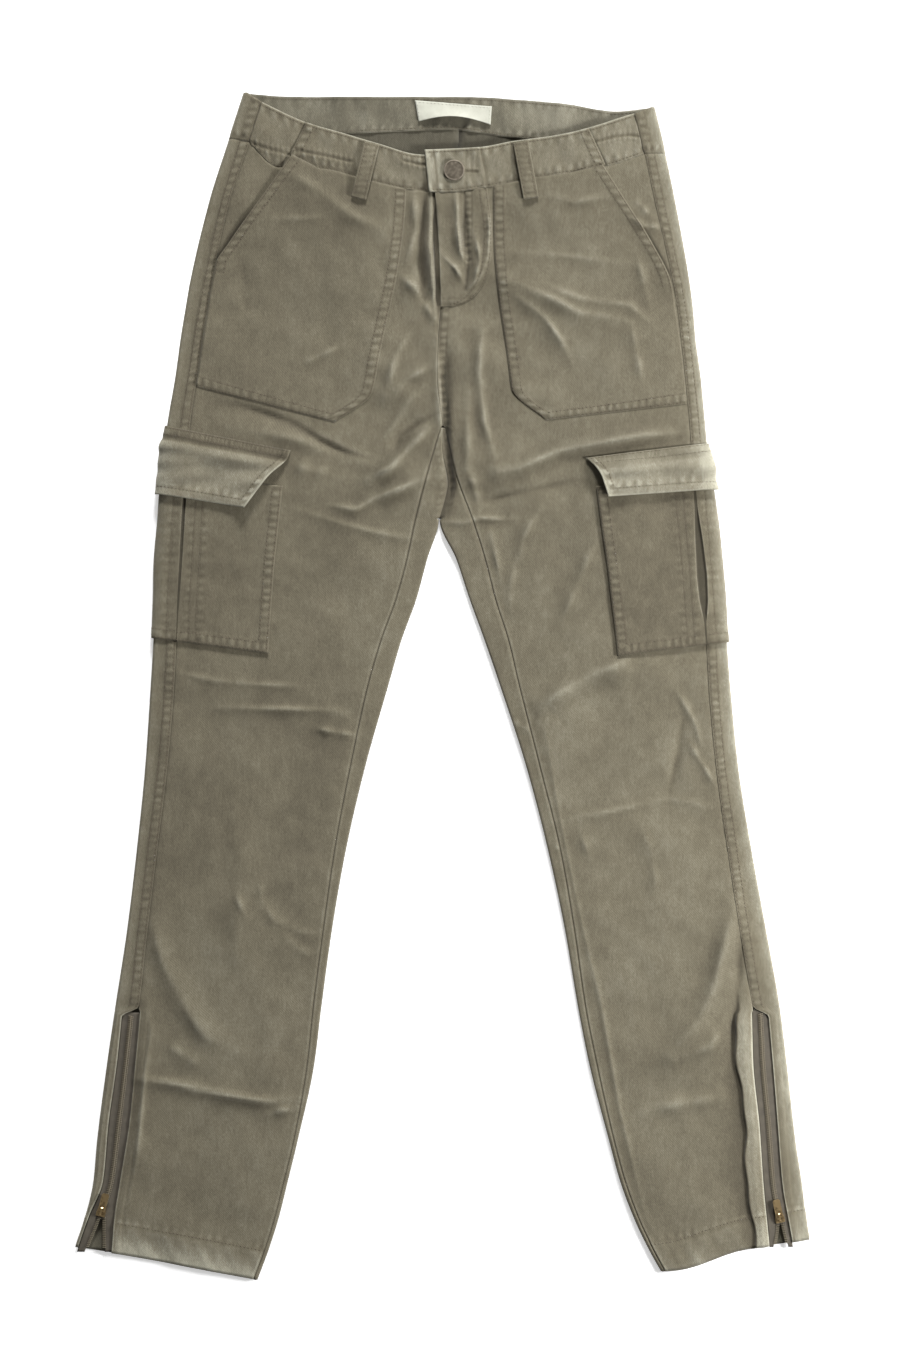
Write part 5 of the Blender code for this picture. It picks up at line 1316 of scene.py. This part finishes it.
def back_band():
    """The back waistband goes round both sides, and its inside shows above the front."""
    share = np.linspace(0, 1, 26)[:, None]
    strip, rolls, middle = 12, 8, 70  # columns
    out_share = np.linspace(0, 1, strip)
    halves = []
    for leg in LEGS.values():
        top_y = leg.meet(leg.outer, back_top, np.array(NOTCH_Y))[1]
        foot_y = leg.meet(leg.outer, back_seam, np.array(NOTCH_Y))[1] + SEAM_GAP
        edge_y = mix(top_y, foot_y, share)
        (ax, ay), (bx, by) = moved(SIDE_SEAM_CUT[leg.side], -leg.half_gap)
        seam_x, seam_y = mix(ax, bx, share), mix(ay, by, share)
        edge_x = leg.outer(edge_y) + leg.inward * leg.radius(edge_y)
        x, y = mix(seam_x, edge_x, out_share), mix(seam_y, edge_y, out_share)
        sewn = Sewn(x)
        sewn.seam(y, abs(x - seam_x), SIDE_ROWS, 61 + leg.seed)
        from_top, from_foot = 36 * share, 38 * (1 - share)
        sewn.seam(x, from_top, BAND_ROWS, 63 + leg.seed, 1.0, 0.1)
        sewn.seam(x, from_foot, BAND_ROWS, 65 + leg.seed, 1.0, 0.1)
        sewn.relief *= 1 - ramp(out_share, 0.8, 1)
        stand = BAND_PROUD * ramp(from_foot, -1, 7)
        pair = leg.top(x, y, stand + sewn.relief), leg.top(x, y, stand - BAND)
        strips = [(*pair, sewn.tone, 0 * sewn.tone)]  # face, lining, and the tone of each
        for angle in np.linspace(90, -90, rolls)[1:]:
            proud = stand * (angle + 90) / 180
            pair = (leg.outer_roll(angle, edge_y, out) for out in (proud, proud - BAND))
            strips.append((*pair, 0 * share, 0 * share))
        start_x, far = leg.outer(edge_y) + leg.inward * 2.5, BACK_LOOPS["back_centre"] + 1
        x = mix(start_x, far, np.linspace(0, 1, middle + 2)[1:-1])
        y = mix(back_top(x), back_seam(x) + SEAM_GAP, share)
        from_top, from_foot = 34 * share, 34 * (1 - share)
        within = Sewn(x)
        within.seam(x, from_top, BAND_ROWS, 67, 0.8, 0.2, 9)
        within.seam(x, from_foot, BAND_ROWS, 69, 1.2, 0.3, 8)
        within.add(1.4 * noise(x, 0.6 * y, 17, 63) + 0.7 * noise(x, 0.35 * y, 7, 64))
        within.add(0, 0.2 * noise(x, y, 24, 65) + 0.3 * hump(from_foot, 0.4, 0.8))
        # painted light: the inside of the band is paler towards the left, where more light falls
        within.add(0, 0.16 * ramp(x, 30, 110))
        inner = leg.bottom(x, y, -BAND)
        inner[..., 2] += within.relief
        strips.append((leg.bottom(x, y), inner, 0 * x, within.tone))
        # the columns run from the right side seam to the left one
        halves.append([np.concatenate(parts, 1)[:, :: leg.inward] for parts in zip(*strips)])
    face, lining, tone, inner_tone = (np.concatenate(parts, 1) for parts in zip(*halves))
    cloth = Cloth("waistband_back", face, lining, tone)
    cloth.inner_tone = inner_tone
    cloth.sew("first row", BAND_ROWS, 30, 30, inner=True)
    cloth.sew("last row", BAND_ROWS, 30, 30, inner=True)


def front_loop(leg, start, end):
    """A belt loop, which arches over the waistband."""
    dx, dy = end[0] - start[0], end[1] - start[1]
    scale = LOOP_WIDTH / 2 / math.hypot(dx, dy)
    share = np.linspace(0, 1, 44)[:, None]
    turn = np.linspace(-1, 1, 18)
    middle_x, middle_y = mix(start[0], end[0], share), mix(start[1], end[1], share)
    x, y = middle_x - turn * (dy * scale), middle_y + turn * (dx * scale)
    edge = LOOP_WIDTH / 2 * (1 - abs(turn))
    sewn = Sewn(x)
    sewn.seam(y, edge, LOOP_ROWS, 71 + leg.seed, 0.45, 0.0, 5)
    uneven = 0.2 * noise(x, y, 5, 73 + leg.seed)
    sewn.add(0.3 * hump(turn, 0, 0.5) + uneven, 0.1 * hump(edge, 0, 0.7))
    for at in (0.035, 0.91):
        sewn.add(-0.2 * hump(share, at, 0.02), -0.1 * hump(share, at, 0.022))
    z = leg.over(middle_x, middle_y) + between(LOOP_ARCH, share) + CLOTH
    face, lining = spots(x, y, z + sewn.relief), spots(x, y, z - CLOTH)
    cloth = Cloth(f"belt_loop_front_{leg.side}", face, lining, sewn.tone)
    cloth.sew("first column", LOOP_ROWS, 0.5, 0.5)
    cloth.sew("last column", LOOP_ROWS, 0.5, 0.5)


def back_loop(name, x):
    """A belt loop under the back waistband, flat on the table."""
    y = mix(back_top(x) - 1, back_seam(x) - LOOP_TAIL, np.linspace(0, 1, 16)[:, None])
    x = x + np.linspace(-0.5, 0.5, 8) * LOOP_WIDTH
    Cloth(f"belt_loop_{name}", spots(x, y, 0.0), spots(x, y, CLOTH))


def label():
    """The label inside the back waistband. Its foot stands off the band between its ends."""
    top_a, top_b, foot_b, foot_a = LABEL
    share = np.linspace(0, 1, 18)[:, None]
    across = np.linspace(0, 1, 48)
    tops = (mix(a, b, across) for a, b in zip(top_a, top_b))
    feet = (mix(a, b, across) for a, b in zip(foot_a, foot_b))
    x, y = (mix(top, foot, share) for top, foot in zip(tops, feet))
    bow = np.sin(math.pi * np.clip(0.04 + 0.96 * across, 0, 1)) * share**1.5
    y = y + 5.5 * bow
    rise = 3.2 * bow + 0.15 * noise(x, y, 9, 81)
    base = LEGS["right"].under(x, y) + BAND + LAY_GAP + 0.3 + rise
    edge = np.minimum(np.minimum(across, 1 - across) * 60, np.minimum(share, 1 - share) * 16)
    face = spots(x, y, base + 0.7 + groove(edge, *LABEL_ROWS, 0.12, 0.5))
    cloth = Cloth("waist_label", face, spots(x, y, base))
    for border in ("first row", "first column", "last column"):
        cloth.sew(border, LABEL_ROWS)


def wrapped(leg, piece, shares, parts, behind=10):
    """Reach on the skin, y, distance inwards from the side seam, and the most that gets to.

    It is for a piece that goes round the seam, and past the leg's edge to its back.
    `parts` are (share of the reach, millimetres more) for the columns on the front.
    """
    table, top_ys, foot_ys = piece
    extent = Curve(table)(shares)

    def height(place):
        hidden = (1 - place / extent) / 2
        return mix(mix(*top_ys, hidden), mix(*foot_ys, hidden), shares)

    part, more = np.array(parts).T
    place = part * extent + more
    y = height(place)
    radius = leg.radius(height(-0.22 * extent))
    to_roll = abs(leg.side_seam(y) - leg.outer(y)) - radius
    roll = -math.pi * radius * np.linspace(0.12, 1, 8)
    far = -math.pi * radius - (extent - to_roll[:, -1:]) * np.linspace(0.12, 1, behind)
    tail = np.concatenate([roll, far], 1)
    tail_place = tail - to_roll[:, -1:]
    reach = np.concatenate([place + to_roll, tail], 1)
    y = np.concatenate([y, height(np.maximum(tail_place, -extent))], 1)
    return reach, y, np.concatenate([place, tail_place], 1), extent


def cargo_pocket(leg):
    """A pocket with a pleat down its middle, over the side seam."""
    shares = np.linspace(0, 1, 92)[:, None]
    _, top_ys, foot_ys = CARGO_POCKET[leg.side]
    beside = (6.8, 5.4, 4.6, 4.2, 3.9, 3.4, 2.4, 1.2)  # columns on each side of the pleat's slit
    parts = [(s, 8.0 * (1 - s)) for s in np.linspace(1, 0, 48)]
    parts += [(0, q) for q in (*beside, 0, *(-q for q in reversed(beside)), -8.5, -10.5, -13)]
    reach, y, place, extent = wrapped(leg, CARGO_POCKET[leg.side], shares, parts)
    # the slit's columns close in on it where it is narrow
    half = between(PLEAT_SLIT[leg.side], y)
    squeeze = np.where(abs(place) < 7, place * (half / 3.9 - 1) * (1 - ramp(abs(place), 4.3, 7)), 0)
    reach, place = reach + squeeze, place + squeeze
    tall = mix(*top_ys, 0.5) - mix(*foot_ys, 0.5)
    from_foot, from_inner = (1 - shares) * tall, extent - place
    seed = leg.seed + 30
    open_slit = ramp(abs(place), half * 0.86, half * 1.03 + 0.1)
    lips = 1.5 * open_slit * np.exp(-np.maximum(abs(place) - half, 0) / 16)
    lips = lips * ramp(half, 0.7, 2.2)
    sewn = Sewn(place)
    sewn.pocket_edges(place, y, from_inner, from_foot, CARGO_ROWS, seed)
    sewn.seam(y, abs(place - 12.5), (3.0,), seed + 4, 0.7 * ramp(place, 2, 8), 0.0, 8)
    sewn.seam(y, abs(place + 8.5), (0.0,), seed + 6, 0.5 * (place < 0), 0.0, 8)
    sewn.add(0.3 * noise(place, y, 26, seed + 8) + lips * mix(0.35, 1, ramp(from_foot, 14, 26)))
    flat = ramp(reach, -8, 0)
    sewn.relief *= flat
    base = LAY_GAP + 0.3 * flat
    face, lining = leg.skin(reach, y, base + CLOTH + sewn.relief), leg.skin(reach, y, base)
    # painted highlight on the slit's lips and painted shade down in the slit; the left pocket is a
    # little darker all over
    sewn.add(0, 0.2 * hump(abs(place) - half, 0.6, 0.9) * ramp(half, 0.7, 2) * flat)
    sewn.add(0, -0.42 * (1 - open_slit) * flat - (0.1 if leg.side == "left" else 0.0))
    cloth = Cloth(f"cargo_pocket_{leg.side}", face, lining, sewn.tone)
    for inset in CARGO_ROWS:
        cloth.sew("first column", (inset,), 1, inset)
        cloth.sew("last row", (inset,), inset, 60)
    normal = surface_normal(face, leg.inward)
    for at in (9.5, 15.5, -8.5):
        k = np.argmin(abs(place[40] - at))
        cloth.runs.append(np.concatenate([face[2:-6, k], normal[2:-6, k]], 1))


def cargo_flap(leg):
    """A flap over the cargo pocket, with its free edges curled up a little."""
    shares = np.linspace(0, 1, 44)[:, None]
    _, top_ys, foot_ys = CARGO_FLAP[leg.side]
    parts = [(s, 0.0) for s in np.linspace(1, 0, 62)] + [(0, -3), (0, -6), (0, -8), (0, -9.5)]
    reach, y, place, extent = wrapped(leg, CARGO_FLAP[leg.side], shares, parts, 8)
    tall = mix(*top_ys, 0.5) - mix(*foot_ys, 0.5)
    from_top, from_foot, from_inner = shares * tall, (1 - shares) * tall, extent - place
    seed = leg.seed + 40
    sewn = Sewn(place)
    inner = ramp(from_foot - from_inner, -1, 1)
    sewn.seam(y, from_inner, (2.4, *FLAP_ROWS), seed, inner, 0.3, 8)
    sewn.seam(place, from_foot, FLAP_ROWS, seed + 2, 1 - inner, 0.3, 9)
    strip = (1 - ramp(from_top, 7.6, 9.0)) * FLAP_STRIP[leg.side]
    sewn.seam(place, from_top, FLAP_TOP_ROWS, seed + 4, strip, 0.3, 3.6)
    # painted shade in the dent under the top strip, and the strip itself a little darker
    dent = FLAP_STRIP[leg.side] * hump(from_top, 9.8, 1.7)
    sewn.add(-dent, -0.35 * dent - 0.14 * strip)
    # the body swells out below the strip, and is painted lighter all over as painted light on the
    # swell
    swell = 1.4 * hump(from_top, 16.5, 5) + 1.5 * noise(0.3 * place, y, 11, seed + 6)
    sewn.add(swell, 0.16 * (1 - strip))
    curl = 2.6 * np.exp(-from_inner / 6) * ramp(shares, 0.15, 0.5)
    curl = curl + 1.0 * np.exp(-from_foot / 7)
    flat = ramp(reach, -8, 0)
    stand = np.minimum(between(FLAP_STAND, shares), mix(LAYER, 9, flat))
    out = LAY_GAP + stand + 0.3 * flat * (1 - shares)
    out = out + curl * flat
    sewn.relief *= flat
    face, lining = leg.skin(reach, y, out + CLOTH + sewn.relief), leg.skin(reach, y, out)
    # painted highlight along the free edges and the turned-up inner edge, where they stand up into
    # the light
    edge = np.minimum(from_inner, from_foot)
    turned_up = ramp(shares, 0.1, 0.3) * hump(from_inner, 0, 3)
    sewn.add(0, 0.25 * hump(edge, 0, 1.0) + 0.3 * turned_up + FLAP_TONE[leg.side])
    cloth = Cloth(f"cargo_flap_{leg.side}", face, lining, sewn.tone)
    cloth.sew("first column", FLAP_ROWS, 3, FLAP_ROWS[0])
    cloth.sew("last row", FLAP_ROWS, FLAP_ROWS[0], 50)
    cloth.sew("first row", FLAP_TOP_ROWS, 2, 50)


def zip_tape(leg):
    """Both tapes, joined between the teeth down to the slider and parted below it."""
    slider_y = SLIDERS[leg.side][1]
    start, end = ZIP_SECTIONS[leg.side][0][0] + 3, ZIP_SECTIONS[leg.side][-1][0] + 1
    y = np.linspace(start, end, 120)[:, None]
    gap = leg.inward * SEAM_GAP
    back, front = leg.back_side_edge(y) + gap, leg.front_side_edge(y) - gap
    stops = (back, *(line(y) for line in leg.teeth), front)
    shares = (np.linspace(0, 1, 6), np.linspace(0, 1, 5)[1:-1], np.linspace(0, 1, 6))
    x = np.concatenate([mix(*ends, share) for *ends, share in zip(stops, stops[1:], shares)], 1)
    relief = 0.12 * noise(x, y, 3.0, 91) - 0.15 * (y > slider_y)
    z = mix(leg.over(back, y), leg.over(front, y), np.linspace(0, 1, x.shape[1])) - 0.55
    face = spots(x, y, z + relief)
    gone = np.zeros(np.array(x.shape) - 1, bool)
    gone[y[:-1, 0] < slider_y - 6, 5:9] = True
    Cloth(f"zip_tape_{leg.side}", face, face - (0, 0, 0.7), gone=gone)


def zip_teeth(leg, material):
    """Two rows of teeth, which mesh above the slider and part below it."""
    around = ((-1, -1), (1, -1), (1, 1), (-1, 1))
    tooth = np.array([(s * a, t * b, c) for c, a, b in TOOTH_SECTIONS for s, t in around]) * TOOTH
    ring = np.array([(0, 1, 5, 4), (1, 2, 6, 5), (2, 3, 7, 6), (3, 0, 4, 7)])
    shape = np.array([(3, 2, 1, 0), *ring, *(ring + 4), (8, 9, 10, 11)])
    slider_y = SLIDERS[leg.side][1]
    top, foot = ZIP_SECTIONS[leg.side][0][0], ZIP_SECTIONS[leg.side][-1][0] + 3
    corners, faces = [], []
    for row, line in enumerate(leg.teeth):
        for k in range(int((top - foot) / TOOTH_PITCH)):
            y = top - (k + 0.5 * row) * TOOTH_PITCH
            if abs(y - slider_y) < 4.2:
                continue
            middle = (leg.teeth[0](y) + leg.teeth[1](y)) / 2
            way = 1 if middle > line(y) else -1
            x = middle - way * 0.75 if y > slider_y else line(y) + way * 0.6
            back, front = leg.back_side_edge(y), leg.front_side_edge(y)
            z = (leg.over(back, y) + leg.over(front, y)) / 2 - 0.6
            faces.append(shape + len(tooth) * len(corners))
            corners.append(tooth + (x, y, z))
    name = f"zip_teeth_{leg.side}"
    return new_object(name, np.concatenate(corners), np.concatenate(faces), [material], False)


def button(material):
    """The shank button's face, turned from its profile."""
    low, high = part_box("fly_button")
    turns = 72
    angle = np.linspace(0, 2 * math.pi, turns, endpoint=False)
    lap = BAND_PROUD + BAND + LAY_GAP
    seat = LEGS["left"].over(np.array(BUTTON_X), np.array(BUTTON_Y)) + lap
    middle_x, middle_y = (low[0] + high[0]) / 2 / MM + ORIGIN_X, (low[1] + high[1]) / 2 / MM
    corners = [[(middle_x, middle_y, seat + BUTTON_PROFILE[0][1])]]
    for radius, height in BUTTON_PROFILE[1:-1]:
        x, y = middle_x + radius * np.cos(angle), middle_y + radius * np.sin(angle)
        corners.append(spots(x, y, seat + height))
    corners = np.concatenate([*corners, [(middle_x, middle_y, seat)]])
    faces = []
    last = 1 + (len(BUTTON_PROFILE) - 3) * turns
    for k in range(turns):
        n = (k + 1) % turns
        faces.append((0, 1 + k, 1 + n))
        faces += [(a + k, a + turns + k, a + turns + n, a + n) for a in range(1, last, turns)]
        faces.append((last + k, len(corners) - 1, last + n))
    return new_object("fly_button_cap", corners, faces, [material])


class Look:
    """A material's nodes. A value that is another node's output is linked."""

    def __init__(self, name, **shading):
        self.material = bpy.data.materials.new(name)
        self.material.use_nodes = True
        self.tree = self.material.node_tree
        self.shade(**shading)

    def put(self, socket, value):
        if hasattr(value, "is_output"):
            self.tree.links.new(value, socket)
        else:
            socket.default_value = value

    def shade(self, **values):
        shader = self.tree.nodes["Principled BSDF"]
        for key, value in values.items():
            self.put(shader.inputs[key.replace("_", " ")], value)

    def node(self, kind, **values):
        """A node, with its settings and the values of its sockets."""
        made = self.tree.nodes.new(f"ShaderNode{kind}")
        for key, value in values.items():
            if hasattr(made, key):
                setattr(made, key, value)
            else:
                self.put(made.inputs[key.replace("_", " ")], value)
        return made

    def source(self, kind, **values):
        return self.node(kind, **values).outputs["Fac"]

    def place(self):
        return self.node("TexCoord").outputs["Object"]

    def maths(self, operation, *values):
        made = self.node("Math", operation=operation)
        for socket, value in zip(made.inputs, (*values, 0.0)):
            self.put(socket, value)
        return made.outputs[0]

    def colour(self, fac, stops):
        made = self.node("ValToRGB", Fac=fac)
        elements = made.color_ramp.elements
        while len(elements) < len(stops):
            elements.new(0.5)
        for element, (at, colour) in zip(elements, stops):
            element.position = at
            element.color = (*colour, 1)
        self.shade(Base_Color=made.outputs[0])

    def bump(self, height, strength, distance=0.0002):
        made = self.node("Bump", Strength=strength, Distance=distance, Height=height)
        self.shade(Normal=made.outputs[0])


def twill(name, stops):
    """Washed cotton twill: uneven dye, slubs, a fine diagonal rib, and each point's tone, which
    holds worn ridges and painted light and shade.
    """
    look = Look(name, Roughness=0.92, Specular_IOR_Level=0.15)
    look.shade(Sheen_Weight=0.15, Sheen_Roughness=0.6)
    place = look.place()
    tone = look.source("Attribute", attribute_name="tone")
    noises = []
    for scale, stretch, detail in ((14, 0.8, 3), (110, 0.8, 3), (1500, 0.35, 2), (480, 0.22, 2)):
        mapped = look.node("Mapping", Vector=place, Scale=(1, stretch, 1)).outputs[0]
        grain = {"Scale": scale, "Detail": detail, "Roughness": 0.6}
        noises.append(look.source("TexNoise", Vector=mapped, **grain))
    wave = {"bands_direction": "DIAGONAL", "Scale": 330, "Distortion": 1.5, "Detail": 1}
    ribs = look.source("TexWave", Vector=place, **wave)
    fac = look.maths("MULTIPLY_ADD", noises[0], 0.34, 0.33)
    for source, much in zip((*noises[1:], ribs), (0.24, 0.5, 0.22, 0.08)):
        fac = look.maths("MULTIPLY_ADD", source, much, look.maths("SUBTRACT", fac, much / 2))
    look.colour(look.maths("ADD", fac, tone), stops)
    look.bump(look.maths("MULTIPLY_ADD", ribs, 0.5, noises[2]), 0.5)
    return look.material


def woven(name, stops, scale, strength=0.4):
    """A plain weave, as on a label or a zip tape."""
    look = Look(name, Roughness=0.85)
    place = look.place()
    wave = {"Vector": place, "Scale": scale}
    waves = [look.source("TexWave", bands_direction=way, **wave) for way in ("X", "Y")]
    weave = look.maths("MULTIPLY", *waves)
    grain = look.source("TexNoise", Vector=place, Scale=150, Detail=3)
    look.colour(look.maths("MULTIPLY_ADD", weave, 0.3, look.maths("MULTIPLY", grain, 0.7)), stops)
    look.bump(weave, strength)
    return look.material


def metal(name, stops, roughness, metallic=1.0):
    """Aged metal: darker in its dull patches and brighter where it is rubbed."""
    look = Look(name, Roughness=roughness, Metallic=metallic)
    patches = look.source("TexNoise", Vector=look.place(), Scale=420, Detail=4, Roughness=0.65)
    pointed = look.node("NewGeometry").outputs["Pointiness"]
    rubbed = look.maths("MULTIPLY_ADD", pointed, 4.0, -2.0)
    look.colour(look.maths("ADD", patches, rubbed), stops)
    look.shade(Roughness=look.maths("MULTIPLY_ADD", patches, 0.35, roughness - 0.15))
    look.bump(patches, 0.25, 0.0001)
    return look.material


def repaint(name, material):
    """Give a CAD piece that is shown as it is a new material."""
    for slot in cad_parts[name].material_slots:
        slot.material = material


def light(name, place, size, watts):
    """A soft round lamp, aimed at the middle of the trousers."""
    lamp = bpy.data.lights.new(name, "AREA")
    lamp.shape = "DISK"
    lamp.size = size
    lamp.energy = watts
    obj = bpy.data.objects.new(name, lamp)
    obj.location = place
    obj.rotation_euler = (-Vector(place)).to_track_quat("-Z", "Y").to_euler()
    bpy.context.scene.collection.objects.link(obj)


def stage():
    """A white table, soft light from the waist's side and the viewer's right, and the camera."""
    bpy.ops.mesh.primitive_plane_add(size=60, location=(0, 0, -0.0005))
    floor = bpy.context.object
    floor.name = "floor"
    white = (1, 1, 1, 1)
    look = Look("table_top", Roughness=0.9, Base_Color=(0.93, 0.93, 0.93, 1))
    look.shade(Emission_Color=white, Emission_Strength=0.45)
    floor.data.materials.append(look.material)
    scene = bpy.context.scene
    world = bpy.data.worlds.new("studio")
    world.use_nodes = True
    background = world.node_tree.nodes["Background"]
    background.inputs["Color"].default_value = white
    background.inputs["Strength"].default_value = 0.17
    scene.world = world
    light("key", (1.3, -0.15, 0.75), 0.4, 36)
    light("waist_light", (0.2, 4.0, 1.8), 1.0, 300)
    scene.view_settings.view_transform = "Standard"
    camera = bpy.data.cameras.new("camera")
    camera.lens = camera.sensor_width * VIEW_HEIGHT / VIEW_TALL
    obj = bpy.data.objects.new("camera", camera)
    obj.location = ((VIEW_CENTRE[0] - ORIGIN_X) * MM, VIEW_CENTRE[1] * MM, VIEW_HEIGHT)
    scene.collection.objects.link(obj)
    scene.camera = obj


def main():
    cloth = twill("cotton_twill", CLOTH_STOPS)
    inside = twill("cotton_twill_inside", INSIDE_STOPS)
    tape = woven("zip_tape_weave", TAPE_STOPS, 500)
    label_weave = woven("label_satin", LABEL_STOPS, 700, 0.2)
    seam_thread = woven("sewing_thread", THREAD_STOPS, 900)
    pale_thread = woven("pale_thread", LABEL_STOPS, 900)
    brass = metal("aged_brass", BRASS_STOPS, 0.38)
    old_brass = metal("dull_brass", TEETH_STOPS, 0.55, 0.6)
    bronze = metal("dark_bronze", BRONZE_STOPS, 0.6, 0.5)

    for leg in LEGS.values():
        front_panel(leg)
        back_panel(leg)
        patch_pocket(leg)
        cargo_pocket(leg)
        cargo_flap(leg)
        zip_tape(leg)
        front_loop(leg, *FRONT_LOOPS[leg.side])
    front_bands()
    back_band()
    fly_overlap()
    label()
    for name, x in BACK_LOOPS.items():
        back_loop(name, x)

    for name, piece in Cloth.made.items():
        slot = "twill"
        faces = (cloth, inside)
        if name.startswith("zip_tape"):
            slot, faces = "zip_tape", (tape, tape)
        if name == "waist_label":
            slot, faces = "label", (label_weave, label_weave)
        obj = piece.build(*faces)
        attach(obj, BODY)
        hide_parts(name)
        if piece.runs:
            colour = pale_thread if slot == "label" else seam_thread
            stitches = thread(f"{name}_stitches", piece.runs, colour)
            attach(stitches, BODY)
        flat, area = piece.flat()

    for side, leg in LEGS.items():
        teeth = zip_teeth(leg, old_brass)
        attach(teeth, BODY)
        repaint(f"zip_slider_{side}", brass)
        repaint(f"zip_pull_{side}", brass)
    cap = button(bronze)
    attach(cap, BODY)
    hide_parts("fly_button")
    stage()


main()
